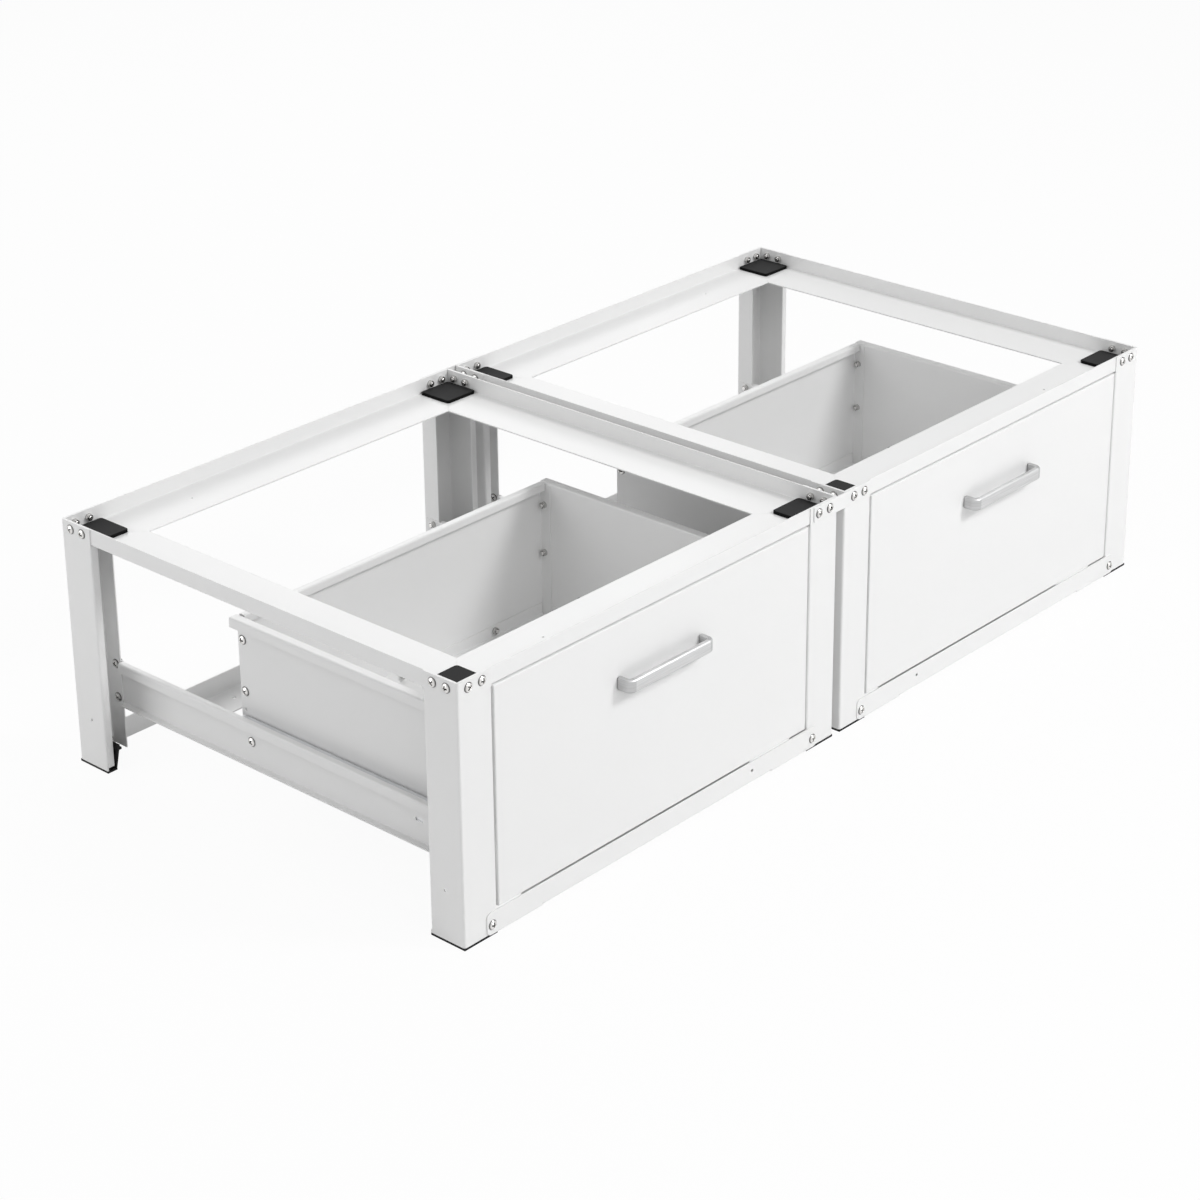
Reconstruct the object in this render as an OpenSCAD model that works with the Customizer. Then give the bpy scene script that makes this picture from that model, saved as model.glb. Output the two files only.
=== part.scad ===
// Double washer pedestal: two joined steel frames, each with a drawer on telescopic slides

/* [Unit] */
// Width of one frame, over its legs
unit_w = 630; // [600:5:690]
// Depth of one frame, over its legs
unit_d = 635; // [580:5:700]
// Height of one frame, from the floor to the top of the upstand
unit_h = 314; // [300:1:360]
// Gap between the two frames
unit_gap = 14; // [6:1:40]

/* [Frame sheet] */
// Thickness of the sheet of legs, rails and plates
frame_t = 1.5; // [1.2:0.1:2]
// Inside radius of the bends
bend_r = 1; // [0.6:0.1:1.6]

/* [Legs] */
// Width of each outer face of a leg
leg_w = 50; // [46:1:56]
// Depth of the return that the side rail is screwed to
leg_deep_return = 26; // [24:0.5:27]
// Depth of the stiffening return on the other edge
leg_small_return = 10; // [6:0.5:12]
// Height at which the returns start, above the lower end of the leg
leg_return_lift = 4; // [2:0.5:10]
// Distance from the top of the returns to the shelf above them
leg_return_gap = 0.5; // [0.2:0.1:2]
// Diameter of the small hole in a leg's side face
leg_hole_d = 3.5; // [2:0.5:5]
// Distance of that hole from the leg's corner
leg_hole_inset = 27; // [22:1:32]
// Height of that hole above the floor
leg_hole_z = 63; // [50:1:80]

/* [Feet] */
// Thickness of the foot under the leg
foot_base_t = 2.8; // [2:0.2:5]
// Width of the two arms of the foot
foot_arm_w = 14; // [12:0.5:16]
// Thickness of the foot's inner wall
foot_wall_t = 2; // [1.6:0.2:3]
// Height of the foot's inner wall
foot_wall_h = 36; // [24:1:44]
// Distance from the leg's corner to the end of the wall along its front or rear face
foot_wall_end = 34; // [24:1:46]
// How far the free edge of the other wall leans out at its top
foot_lean = 8; // [4:0.5:10]
// Height of the block that fills the leg's corner
foot_block_h = 20; // [12:1:24]

/* [Top rails] */
// Width of the shelf, from the outer face of the frame
shelf_w = 70; // [62:1:90]
// Height of the upstand, with the thickness of the shelf
upstand_h = 21; // [20:0.5:28]
// Diameter of the small hole in the shelves of the front and rear rails
shelf_hole_d = 3; // [2:0.5:5]
// Distance of that hole from the outer side of the frame
shelf_hole_x = 165; // [100:5:250]
// Distance of that hole from the shelf's inner edge
shelf_hole_edge = 35; // [10:1:36]

/* [Top pads] */
// Side of a square pad
pad_w = 50; // [36:1:56]
// Thickness of a pad
pad_t = 3.8; // [2:0.2:3.8]
// Radius of the pad's corners in plan
pad_corner_r = 4; // [2:0.5:8]

/* [Side rails] */
// Height of the rail's web
side_rail_h = 56; // [54:0.5:62]
// Height of the middle of the web above the floor
side_rail_z = 93.5; // [84:0.5:110]
// Width of the top flange, from the web's outer face
side_rail_top_flange = 8; // [6:0.5:12]
// Height of the lip that hangs from the top flange
side_rail_lip = 12; // [8:0.5:16]
// Width of the bottom flange, from the web's outer face
side_rail_bottom_flange = 8.5; // [6:0.5:12]
// Distance from the frame's front face to the start of the flanges
side_rail_flange_inset = 29; // [28:0.5:40]
// Distance from the frame's front face to the end of the web
side_rail_web_inset = 5; // [3:0.5:8]
// Distance of the two end screws from the web's edges
side_rail_screw_edge = 6; // [5.5:0.1:6.5]
// Distance of the two end screws from the frame's front face
side_rail_screw_inset = 17.5; // [17:0.5:19]
// Distance from the frame's front face to the middle of the slot
side_rail_slot_inset = 114; // [90:1:160]
// Length of the slot
side_rail_slot_l = 12; // [8:0.5:20]
// Width of the slot
side_rail_slot_w = 4.5; // [3:0.5:6]

/* [Bottom rails] */
// Height of the rail's plate
bottom_rail_h = 27; // [22:0.5:34]
// Height of the plate's lower edge above the floor
bottom_rail_z = 2.5; // [1:0.5:6]
// Overlap of the plate on the face of a leg
bottom_rail_overlap = 17; // [14:0.5:20]
// Radius of the plate's corners
bottom_rail_corner_r = 6; // [3:0.5:8]
// Width of the flange at the lower edge
bottom_rail_flange = 50; // [30:1:60]
// Distance from the frame's side to the end of the flange
bottom_rail_flange_inset = 120; // [60:5:160]
// Distance of the end screws from the frame's side
bottom_rail_screw_inset = 41; // [40:0.5:42]
// Height of the end screws above the plate's lower edge
bottom_rail_screw_lift = 11.5; // [9:0.5:13]
// Distance between the two holes in the flange
bottom_rail_hole_pitch = 186; // [100:2:220]
// Distance of those holes from the frame's front face
bottom_rail_hole_inset = 22; // [12:1:28]
// Diameter of the small hole in the plate
bottom_rail_face_hole_d = 4; // [2:0.5:5]
// Distance of that hole from the inner side of the frame
bottom_rail_face_hole_x = 154; // [100:2:250]
// Height of that hole above the plate's lower edge
bottom_rail_face_hole_lift = 15.5; // [11:0.5:17]

/* [Joining plates] */
// Height of a joining plate
join_plate_h = 19; // [16:0.5:19]
// Overlap of the plate on each leg
join_plate_overlap = 45; // [42:0.5:46]
// Radius of the plate's corners
join_plate_corner_r = 2; // [1:0.5:4]

/* [Frame screws] */
// Thread diameter of the screws
screw_d = 5; // [4:0.5:5]
// Diameter of the domed head
screw_head_d = 11.8; // [9:0.2:12]
// Height of the domed head
screw_head_h = 3; // [2:0.2:3.4]
// Size of the nut across its flats
nut_flats = 8; // [7:0.5:8]
// Height of the nut
nut_h = 4.7; // [3:0.1:5]
// Length of thread that stands out of the nut
screw_tail = 1.2; // [0.4:0.2:2]
// Distance from the corner of the frame to the first screw at a leg's top
top_screw_inset = 16; // [15:0.5:17]
// Distance between the two screws at a leg's top
top_screw_pitch = 20; // [18:0.5:21]
// Distance from the top of the frame to those screws
top_screw_drop = 9.5; // [9.5:0.1:10]

/* [Slides] */
// Length of the slides
slide_l = 381; // [330:1:400]
// Height of the slides
slide_h = 45; // [42:0.5:45]
// Thickness of the slides, from the rail to the drawer wall
slide_w = 12.7; // [12.4:0.1:14]
// Distance from the frame's front face to the slides
slide_inset = 25; // [24:0.5:40]
// Thickness of the slides' outer and inner members
slide_t = 1.2; // [1:0.1:1.4]
// Thickness of the slides' middle member
slide_middle_t = 1; // [0.8:0.1:1.2]
// Height of the lips that hold the balls of the outer member
slide_lip = 3.6; // [3:0.2:4.4]
// Height of the lips of the middle member
slide_middle_lip = 2.6; // [2:0.2:3]
// Radial room between the outer and the middle member
slide_outer_race = 4; // [3.6:0.1:4.2]
// Radial room between the middle and the inner member
slide_inner_race = 3.2; // [3:0.1:3.6]
// Gap between the webs of the outer and the middle member
slide_web_gap = 1.2; // [0.8:0.1:1.6]
// Gap between the outer member's lips and the drawer wall
slide_rim_gap = 1; // [0.8:0.1:1.6]
// How much shorter the middle member is than the slide
slide_middle_cut = 12; // [4:1:30]
// Distance from the slide's front end to its first screw
slide_screw_first = 36; // [30:1:50]
// Distance from the slide's rear end to its last screw
slide_screw_end = 24; // [16:1:60]
// Distance from the slide's rear end to the last screw in the drawer's side wall
wall_screw_end = 60; // [40:1:90]
// Length of the ball cages
cage_l = 170; // [90:1:180]
// Thickness of the ball cages
cage_t = 0.5; // [0.4:0.05:0.6]
// Balls in each row of a cage
cage_balls = 6; // [3:1:8]
// Travel of the drawer
slide_travel = 380; // [250:1:380]

/* [Drawer box] */
// Depth of the drawer, from the front face of its panel
drawer_d = 412; // [404:1:460]
// Height of the walls' lower edge above the floor
drawer_lift = 57; // [50:0.5:62]
// Height of the walls
drawer_wall_h = 182.5; // [160:0.5:200]
// Thickness of the walls
drawer_t = 1.2; // [0.8:0.1:1.5]
// Width of the folded top edge of the side walls
wall_flange = 12; // [8:0.5:12.5]
// Height of the lip that hangs from that edge
wall_lip = 12; // [6:0.5:16]
// Width of the side wall's front flange
wall_front_flange = 16; // [14:0.5:24]
// Width of the folded top edge of the rear wall
rear_flange = 10; // [8:0.5:16]
// Height of the lip that hangs from that edge
rear_lip = 10; // [6:0.5:14]
// Length of the rear wall's side tabs
rear_tab = 17; // [14:0.5:22]
// Distance of the corner screws from the rear face
corner_screw_inset = 7.5; // [7:0.5:9]
// Distance of the upper corner screw from the walls' top edge
corner_screw_drop = 30; // [24:0.5:40]
// Distance between the corner screws
corner_screw_pitch = 65; // [40:0.5:90]
// Diameter of the free hole below the corner screws
corner_hole_d = 4; // [2:0.5:5]
// Distance from the lower corner screw to that hole
corner_hole_pitch = 23; // [14:0.5:30]

/* [Drawer floor] */
// Thickness of the floor
floor_t = 1; // [0.8:0.1:1.5]
// Height of the floor above the walls' lower edge
floor_lift = 1; // [0.5:0.1:4]
// Height of the floor's turned-up edges
floor_fold = 16; // [13.5:0.5:24]
// Height of the floor's screws above the floor
floor_screw_lift = 8; // [6:0.5:9]
// Distance between the floor's screws
floor_screw_pitch = 160; // [100:5:200]

/* [Drawer front] */
// Gap between the panel and the legs
panel_gap = 3; // [2.4:0.1:5]
// Gap between the panel and the rails above and below it
panel_rail_gap = 1; // [1:0.1:4]
// Thickness of the panel's sheet
panel_t = 1.2; // [0.8:0.1:1.5]
// Depth of the panel's folded edges
panel_fold = 11; // [8:0.5:11.5]
// Outside radius of the panel's edges
panel_edge_r = 1.6; // [1.6:0.1:3]
// Distance from the walls' top edge to the upper stud
stud_drop = 32; // [20:1:60]
// Distance from the walls' lower edge to the lower stud
stud_lift = 33; // [28:1:60]
// Diameter of the studs behind the panel
stud_d = 5; // [4:0.5:5]

/* [Handle] */
// Overall length of the handle
handle_l = 144; // [110:1:220]
// Height of the handle
handle_h = 15.5; // [12:0.5:20]
// Distance from the panel to the front of the handle
handle_reach = 20; // [20:0.5:38]
// Thickness of the handle's bar
handle_t = 6.5; // [6:0.5:9]
// Outside radius of the handle's corners
handle_corner_r = 10; // [9.5:0.5:10.5]
// Width of the bevels along the handle's outer edges
handle_bevel = 1.5; // [0.5:0.5:3]
// Distance from the panel's top edge to the middle of the handle
handle_drop = 71.5; // [40:0.5:120]
// Diameter of the handle's screws
handle_screw_d = 4; // [3:0.5:5]
// Depth of the handle's screw holes
handle_screw_depth = 9; // [6:0.5:12]

/* [Hidden] */

// Sides of a unit, ends of a unit, and the two units
OUTER = false;
INNER = true;
FRONT = false;
REAR = true;
LEFT = false;
RIGHT = true;

$fn = 32;
bend_steps = 3;
corner_steps = 6;

// Small clearances, and the overrun of every cut
fit_gap = 0.3;
sheet_gap = 0.1;
hole_play = 0.25;
thread_play = 0.05;
bend_relief = 2;
overrun = 1;

white = "#f1f1ef";
black = "#1b1b1c";
zinc = "#b9bcbf";
silver = "#c9cbcd";

overall_w = 2 * unit_w + unit_gap;
// The footprint runs from the handles to the heads of the rear screws, and the origin is its middle
origin_y = (unit_d + frame_t + screw_head_h - handle_reach) / 2;

top_screw_z = unit_h - top_screw_drop;
shelf_z = unit_h - upstand_h;
leg_return_z = foot_base_t + leg_return_lift;

web_x = leg_w;
slide_x = web_x + frame_t;
wall_x = slide_x + slide_w;
wall_inside_x = wall_x + drawer_t;
wall_top = drawer_lift + drawer_wall_h;
rear_inside_y = drawer_d - drawer_t;

panel_x = leg_w + panel_gap;
panel_z = bottom_rail_z + bottom_rail_h + panel_rail_gap;
panel_w = unit_w - 2 * panel_x;
panel_h = shelf_z - panel_rail_gap - panel_z;
handle_z = panel_z + panel_h - handle_drop;

floor_z = drawer_lift + floor_lift;
floor_screw_z = floor_z + floor_t + floor_screw_lift;
floor_screw_places = [-floor_screw_pitch, 0, floor_screw_pitch];
corner_screw_zs = [wall_top - corner_screw_drop, wall_top - corner_screw_drop - corner_screw_pitch];
side_rail_screw_rise = side_rail_h / 2 - side_rail_screw_edge;
stud_zs = [drawer_lift + stud_lift, wall_top - stud_drop];

nut_sides = 6;
nut_half_turn = 30;
nut_corner_d = nut_flats / cos(nut_half_turn);

slide_middle_h = slide_h - 2 * (slide_t + slide_outer_race);
slide_inner_h = slide_middle_h - 2 * (slide_middle_t + slide_inner_race);
slide_middle_x = slide_t + slide_web_gap;
slide_inner_x = slide_middle_x + slide_middle_t + slide_web_gap;
slide_rim_x = slide_w - slide_rim_gap;
slide_middle_rim_x = slide_rim_x - slide_t;
outer_ball_d = slide_outer_race - 2 * fit_gap;
inner_ball_d = slide_inner_race - 2 * fit_gap;
cage_inset = slide_inset + slide_middle_cut / 2 + slide_travel / 4;
cage_pitch = cage_l / cage_balls;

// Direction from one point to the next, and the direction square to it on its left
function ahead(a, b) = (b - a) / norm(b - a);
function left_of(d) = [-d[1], d[0]];
function turned(v, a) = [v[0] * cos(a) - v[1] * sin(a), v[0] * sin(a) + v[1] * cos(a)];

// Points of one bend at corner b, on the line that lies off to the left of the path a, b, c
function bend_points(a, b, c, off, t, r) =
    let (
        d = ahead(a, b),
        e = ahead(b, c),
        side = cross(d, e) > 0 ? 1 : -1,
        angle = acos(d * e),
        path_r = side > 0 ? r + t : r,
        line_r = path_r - side * off,
        centre = b - d * path_r * tan(angle / 2) + side * path_r * left_of(d)
    )
    [for (i = [0 : bend_steps]) centre - side * line_r * turned(left_of(d), side * angle * i / bend_steps)];

// Line that runs beside a path at the given offset, with its bends rounded
function beside(path, off, t, r) =
    let (last = len(path) - 1)
    concat(
        [path[0] + off * left_of(ahead(path[0], path[1]))],
        [for (i = [1 : last - 1], p = bend_points(path[i - 1], path[i], path[i + 1], off, t, r)) p],
        [path[last] + off * left_of(ahead(path[last - 1], path[last]))]
    );

function reversed(points) = [for (i = [len(points) - 1 : -1 : 0]) points[i]];

// Points of a rectangle with round corners, with its first corner at the origin
function rounded_rectangle(w, h, r) = [
    for (corner = [[w - r, h - r, 0], [r, h - r, 1], [r, r, 2], [w - r, r, 3]], i = [0 : corner_steps])
        [corner[0], corner[1]] + r * turned([1, 0], 90 * (corner[2] + i / corner_steps))
];

// Section of a folded sheet, with its thickness on the left of the path
module folded(path, t, r) {
    polygon(concat(beside(path, 0, t, r), reversed(beside(path, t, t, r))));
}

// Section of a folded frame sheet
module frame_fold(path) {
    folded(path, frame_t, bend_r);
}

// Extrudes a section of y and z along +X
module along_x(from, to) {
    translate([from, 0, 0])
        rotate([90, 0, 90])
            linear_extrude(height = to - from)
                children();
}

// Extrudes a section of x and z along +Y
module along_y(from, to) {
    translate([0, to, 0])
        rotate([90, 0, 0])
            linear_extrude(height = to - from)
                children();
}

// Extrudes a section of x and y along +Z
module along_z(from, to) {
    translate([0, 0, from])
        linear_extrude(height = to - from)
            children();
}

// Places a piece of the outer side on the inner side of its unit
module on_side(inner) {
    if (inner)
        translate([unit_w, 0, 0])
            mirror([1, 0, 0])
                children();
    else
        children();
}

// Places a piece of the front end at the rear end of its unit
module on_end(rear) {
    if (rear)
        translate([0, unit_d, 0])
            mirror([0, 1, 0])
                children();
    else
        children();
}

// Places the pieces of a unit, whose outer front corner is at the origin, in the whole pedestal
module in_unit(right) {
    if (right)
        mirror([1, 0, 0])
            translate([-overall_w / 2, -origin_y, 0])
                children();
    else
        translate([-overall_w / 2, -origin_y, 0])
            children();
}

// Axis that runs inward from the side face, from the front face, or outward from inside the drawer
module from_side(x, y, z) {
    translate([x, y, z])
        rotate([0, 90, 0])
            children();
}

module from_front(x, y, z) {
    translate([x, y, z])
        rotate([-90, 0, 0])
            children();
}

module from_inside(x, y, z) {
    translate([x, y, z])
        rotate([0, -90, 0])
            children();
}

module from_rear(x, y, z) {
    translate([x, y, z])
        rotate([90, 0, 0])
            children();
}

// Domed screw whose head is seated on the plane z = 0 and whose shank runs along +Z
module screw(d, l) {
    dome_r = (screw_head_d * screw_head_d / 4 + screw_head_h * screw_head_h) / (2 * screw_head_h);
    rotate_extrude()
        intersection() {
            translate([0, dome_r - screw_head_h])
                circle(r = dome_r, $fn = 64);
            translate([0, -screw_head_h])
                square([screw_head_d / 2, screw_head_h]);
        }
    translate([0, 0, -screw_head_h / 2])
        cylinder(d = d, h = l + screw_head_h / 2);
}

// Hexagon nut that sits on the plane z = 0, with two corners on the screw's own x axis
module nut(d) {
    difference() {
        cylinder(d = nut_corner_d, h = nut_h, $fn = nut_sides);
        translate([0, 0, -overrun])
            cylinder(d = d + 2 * thread_play, h = nut_h + 2 * overrun);
    }
}

// Hole for a screw that starts before the plane z = 0 and runs to the given depth
module hole(d, depth) {
    translate([0, 0, -frame_t - overrun])
        cylinder(d = d + 2 * hole_play, h = depth + frame_t + 2 * overrun);
}

// Places of the frame's fasteners at the outer front corner
module at_top_side_screws() {
    for (i = [0, 1])
        from_side(0, top_screw_inset + i * top_screw_pitch, top_screw_z)
            children();
}

module at_top_front_screws(lift = 0) {
    for (i = [0, 1])
        from_front(top_screw_inset + i * top_screw_pitch, -lift, top_screw_z)
            children();
}

module at_side_rail_screws() {
    for (way = [-1, 1])
        from_side(leg_w - frame_t, side_rail_screw_inset, side_rail_z + way * side_rail_screw_rise)
            children();
}

module at_bottom_rail_screws() {
    from_front(bottom_rail_screw_inset, -frame_t, bottom_rail_z + bottom_rail_screw_lift)
        children();
}

module at_slide_screws() {
    for (along = [slide_screw_first, slide_l - slide_screw_end])
        from_side(web_x, slide_inset + along, side_rail_z)
            children();
}

// Leg of the outer front corner
module leg() {
    faces = [[0, leg_w], [0, 0], [leg_w, 0]];
    folds = [
        [leg_small_return, leg_w],
        [0, leg_w],
        [0, 0],
        [leg_w, 0],
        [leg_w, leg_deep_return],
    ];
    color(white)
        difference() {
            union() {
                along_z(foot_base_t, leg_return_z)
                    frame_fold(faces);
                along_z(leg_return_z, shelf_z - leg_return_gap)
                    frame_fold(folds);
                along_z(shelf_z - leg_return_gap, unit_h)
                    frame_fold(faces);
            }
            at_top_side_screws()
                hole(screw_d, frame_t);
            at_top_front_screws()
                hole(screw_d, frame_t);
            at_side_rail_screws()
                hole(screw_d, frame_t);
            at_bottom_rail_screws()
                hole(screw_d, 2 * frame_t);
            from_side(0, leg_hole_inset, leg_hole_z)
                hole(leg_hole_d - 2 * hole_play, frame_t);
        }
}

// Section of a top rail along the front, from the upstand's outer face to the shelf's inner edge
module top_rail_section() {
    frame_fold([[frame_t, unit_h], [frame_t, shelf_z], [shelf_w, shelf_z]]);
}

// Plan of a mitred rail that runs along x: its ends stay clear of the bends of the legs
module mitre(l) {
    clear = frame_t + bend_r + sheet_gap;
    far = shelf_w + overrun;
    linear_extrude(height = unit_h + overrun)
        polygon([
            [clear, 0],
            [l - clear, 0],
            [l - clear, clear - sheet_gap],
            [l - sheet_gap - far, far],
            [sheet_gap + far, far],
            [clear, clear - sheet_gap],
        ]);
}

// Top rail of the front, with its mitred ends and its screw holes
module cross_top_rail() {
    color(white)
        difference() {
            intersection() {
                along_x(0, unit_w)
                    top_rail_section();
                mitre(unit_w);
            }
            for (side = [OUTER, INNER])
                on_side(side)
                    at_top_front_screws()
                        hole(screw_d, 2 * frame_t);
            translate([shelf_hole_x, shelf_w - shelf_hole_edge, shelf_z])
                hole(shelf_hole_d - 2 * hole_play, frame_t);
        }
}

// Top rail of the outer side, with its mitred ends and its screw holes
module side_top_rail() {
    color(white)
        difference() {
            mirror([1, -1, 0])
                intersection() {
                    along_x(0, unit_d)
                        top_rail_section();
                    mitre(unit_d);
                }
            for (end = [FRONT, REAR])
                on_end(end)
                    at_top_side_screws()
                        hole(screw_d, 2 * frame_t);
        }
}

// Side rail of the outer side: a flat web whose flanges stop short of the legs
module side_rail() {
    low = side_rail_z - side_rail_h / 2;
    high = side_rail_z + side_rail_h / 2;
    slot_run = side_rail_slot_l - side_rail_slot_w;
    color(white)
        difference() {
            union() {
                along_y(side_rail_web_inset, unit_d - side_rail_web_inset)
                    translate([web_x, low + bend_r + frame_t])
                        square([frame_t, side_rail_h - 2 * (bend_r + frame_t)]);
                for (end = [FRONT, REAR])
                    on_end(end)
                        along_y(side_rail_web_inset, side_rail_flange_inset)
                            translate([web_x, low])
                                square([frame_t, side_rail_h]);
                along_y(side_rail_flange_inset, unit_d - side_rail_flange_inset)
                    frame_fold([
                        [web_x - side_rail_bottom_flange, low],
                        [slide_x, low],
                        [slide_x, high],
                        [web_x - side_rail_top_flange, high],
                        [web_x - side_rail_top_flange, high - side_rail_lip],
                    ]);
            }
            for (end = [FRONT, REAR])
                on_end(end)
                    at_side_rail_screws()
                        hole(screw_d, 2 * frame_t);
            at_slide_screws()
                hole(screw_d, frame_t);
            for (way = [-1, 1])
                from_side(web_x, side_rail_slot_inset + way * slot_run / 2, side_rail_z)
                    hole(side_rail_slot_w - 2 * hole_play, frame_t);
            translate([web_x - overrun, side_rail_slot_inset - slot_run / 2, side_rail_z - side_rail_slot_w / 2])
                cube([frame_t + 2 * overrun, slot_run, side_rail_slot_w]);
        }
}

// Bottom rail of the front: a plate with round corners and a flange along its middle
module bottom_rail() {
    plate_x = leg_w - bottom_rail_overlap;
    relief_x = bottom_rail_flange_inset - bend_relief;
    bend_h = bend_r + frame_t;
    color(white)
        difference() {
            union() {
                difference() {
                    translate([plate_x, 0, bottom_rail_z])
                        rotate([90, 0, 0])
                            linear_extrude(height = frame_t)
                                polygon(rounded_rectangle(
                                    unit_w - 2 * plate_x, bottom_rail_h, bottom_rail_corner_r));
                    translate([relief_x, -frame_t - overrun, bottom_rail_z - overrun])
                        cube([unit_w - 2 * relief_x, frame_t + 2 * overrun, bend_h + overrun]);
                }
                along_x(bottom_rail_flange_inset, unit_w - bottom_rail_flange_inset)
                    frame_fold([
                        [-frame_t, bottom_rail_z + 2 * bend_h],
                        [-frame_t, bottom_rail_z],
                        [bottom_rail_flange - frame_t, bottom_rail_z],
                    ]);
            }
            for (side = [OUTER, INNER])
                on_side(side)
                    at_bottom_rail_screws()
                        hole(screw_d, frame_t);
            for (way = [-1, 1])
                translate([unit_w / 2 + way * bottom_rail_hole_pitch / 2, bottom_rail_hole_inset, 0])
                    cylinder(d = screw_d, h = bottom_rail_z + frame_t + overrun);
            from_front(unit_w - bottom_rail_face_hole_x, -frame_t, bottom_rail_z + bottom_rail_face_hole_lift)
                hole(bottom_rail_face_hole_d - 2 * hole_play, frame_t);
        }
}

// Foot of the outer front corner: a base under the leg, a corner block and a wall inside the leg
module foot() {
    inside = frame_t + fit_gap;
    wall = foot_arm_w - foot_wall_t;
    low = foot_base_t - sheet_gap;
    color(black) {
        along_z(0, foot_base_t)
            polygon([
                [0, 0],
                [leg_w, 0],
                [leg_w, foot_arm_w],
                [foot_arm_w, foot_arm_w],
                [foot_arm_w, leg_w],
                [0, leg_w],
            ]);
        along_z(low, foot_block_h)
            translate([inside, inside])
                square([foot_arm_w - inside, foot_arm_w - inside]);
        along_z(low, foot_wall_h)
            translate([wall, wall])
                square([foot_wall_end - wall, foot_wall_t]);
        rotate([90, 0, 90])
            translate([0, 0, wall])
                linear_extrude(height = foot_wall_t)
                    polygon([
                        [wall, low],
                        [leg_w, low],
                        [leg_w + foot_lean, foot_wall_h],
                        [wall, foot_wall_h],
                    ]);
    }
}

// Pad of the outer front corner, on the shelf and clear of the bends of both upstands
module top_pad() {
    corner = 2 * frame_t + bend_r;
    color(black)
        translate([corner, corner, shelf_z + frame_t])
            linear_extrude(height = pad_t)
                polygon(rounded_rectangle(pad_w, pad_w, pad_corner_r));
}

// Calls its child for all four corners of a unit
module at_corners() {
    for (side = [OUTER, INNER], end = [FRONT, REAR])
        on_side(side)
            on_end(end)
                children();
}

module feet() {
    at_corners()
        foot();
}

module top_pads() {
    at_corners()
        top_pad();
}

// Frame screws of a unit: where the joining plates lie, the heads sit on them
module frame_screws() {
    grip = 2 * frame_t + nut_h + screw_tail;
    color(zinc) {
        at_corners() {
            at_top_side_screws()
                screw(screw_d, grip);
            at_side_rail_screws()
                screw(screw_d, grip);
            at_bottom_rail_screws()
                screw(screw_d, grip);
        }
        for (side = [OUTER, INNER], end = [FRONT, REAR])
            on_side(side)
                on_end(end)
                    at_top_front_screws(side == INNER ? frame_t : 0)
                        screw(screw_d, grip + (side == INNER ? frame_t : 0));
        for (side = [OUTER, INNER])
            on_side(side)
                at_slide_screws()
                    screw(screw_d, frame_t + slide_t);
    }
}

module frame_nuts() {
    seat = 2 * frame_t;
    color(zinc)
        at_corners() {
            at_top_side_screws()
                translate([0, 0, seat])
                    rotate([0, 0, nut_half_turn])
                        nut(screw_d);
            at_top_front_screws()
                translate([0, 0, seat])
                    nut(screw_d);
            at_side_rail_screws()
                translate([0, 0, seat])
                    nut(screw_d);
            at_bottom_rail_screws()
                translate([0, 0, seat])
                    nut(screw_d);
        }
}

// Plate that joins the two units, at the front or at the rear
module joining_plate(rear) {
    l = unit_gap + 2 * join_plate_overlap;
    color(white)
        difference() {
            translate([0, -origin_y, 0])
                on_end(rear)
                    translate([-l / 2, 0, unit_h - top_screw_drop - join_plate_h / 2])
                        rotate([90, 0, 0])
                            linear_extrude(height = frame_t)
                                polygon(rounded_rectangle(l, join_plate_h, join_plate_corner_r));
            for (unit = [LEFT, RIGHT])
                in_unit(unit)
                    on_side(INNER)
                        on_end(rear)
                            at_top_front_screws()
                                hole(screw_d, frame_t);
        }
}

// Extrudes a slide section of the outer side, placed from the rail's web and the slide's middle height
module slide_member(setback, l) {
    translate([slide_x, 0, side_rail_z])
        along_y(slide_inset + setback, slide_inset + setback + l)
            children();
}

// Outer member: its web lies on the side rail and its lips hold the balls
module slide_outer_member() {
    high = slide_h / 2;
    color(zinc)
        difference() {
            slide_member(0, slide_l)
                folded([
                    [slide_rim_x, high - slide_lip],
                    [slide_rim_x, high],
                    [0, high],
                    [0, -high],
                    [slide_rim_x, -high],
                    [slide_rim_x, -high + slide_lip],
                ], slide_t, bend_r);
            at_slide_screws()
                hole(screw_d, frame_t + slide_t);
        }
}

// Middle member: it rolls in the outer member and the inner member rolls in it
module slide_middle_member() {
    high = slide_middle_h / 2;
    color(silver)
        slide_member(slide_middle_cut / 2, slide_l - slide_middle_cut)
            folded([
                [slide_middle_rim_x, high - slide_middle_lip],
                [slide_middle_rim_x, high],
                [slide_middle_x, high],
                [slide_middle_x, -high],
                [slide_middle_rim_x, -high],
                [slide_middle_rim_x, -high + slide_middle_lip],
            ], slide_middle_t, bend_r);
}

// Inner member: its web lies on the drawer wall and its flanges reach into the middle member
module slide_inner_member() {
    high = slide_inner_h / 2;
    color(zinc)
        difference() {
            slide_member(0, slide_l)
                folded([
                    [slide_inner_x, -high],
                    [slide_w, -high],
                    [slide_w, high],
                    [slide_inner_x, high],
                ], slide_t, bend_r);
            at_wall_screws()
                hole(screw_d, drawer_t + slide_t);
        }
}

// Ball cage: a strip folded round the member inside it, with a row of balls above and one below
module ball_cage(web, rim, ball_x, row_h, ball_d) {
    color(silver)
        difference() {
            translate([slide_x, 0, side_rail_z])
                along_y(cage_inset, cage_inset + cage_l)
                    folded([
                        [rim, row_h / 2 + cage_t / 2],
                        [web, row_h / 2 + cage_t / 2],
                        [web, -row_h / 2 - cage_t / 2],
                        [rim, -row_h / 2 - cage_t / 2],
                    ], cage_t, cage_t);
            at_balls(ball_x, row_h)
                cylinder(d = ball_d + 2 * sheet_gap, h = 2 * ball_d, center = true);
        }
    color(zinc)
        at_balls(ball_x, row_h)
            sphere(d = ball_d);
}

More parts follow.
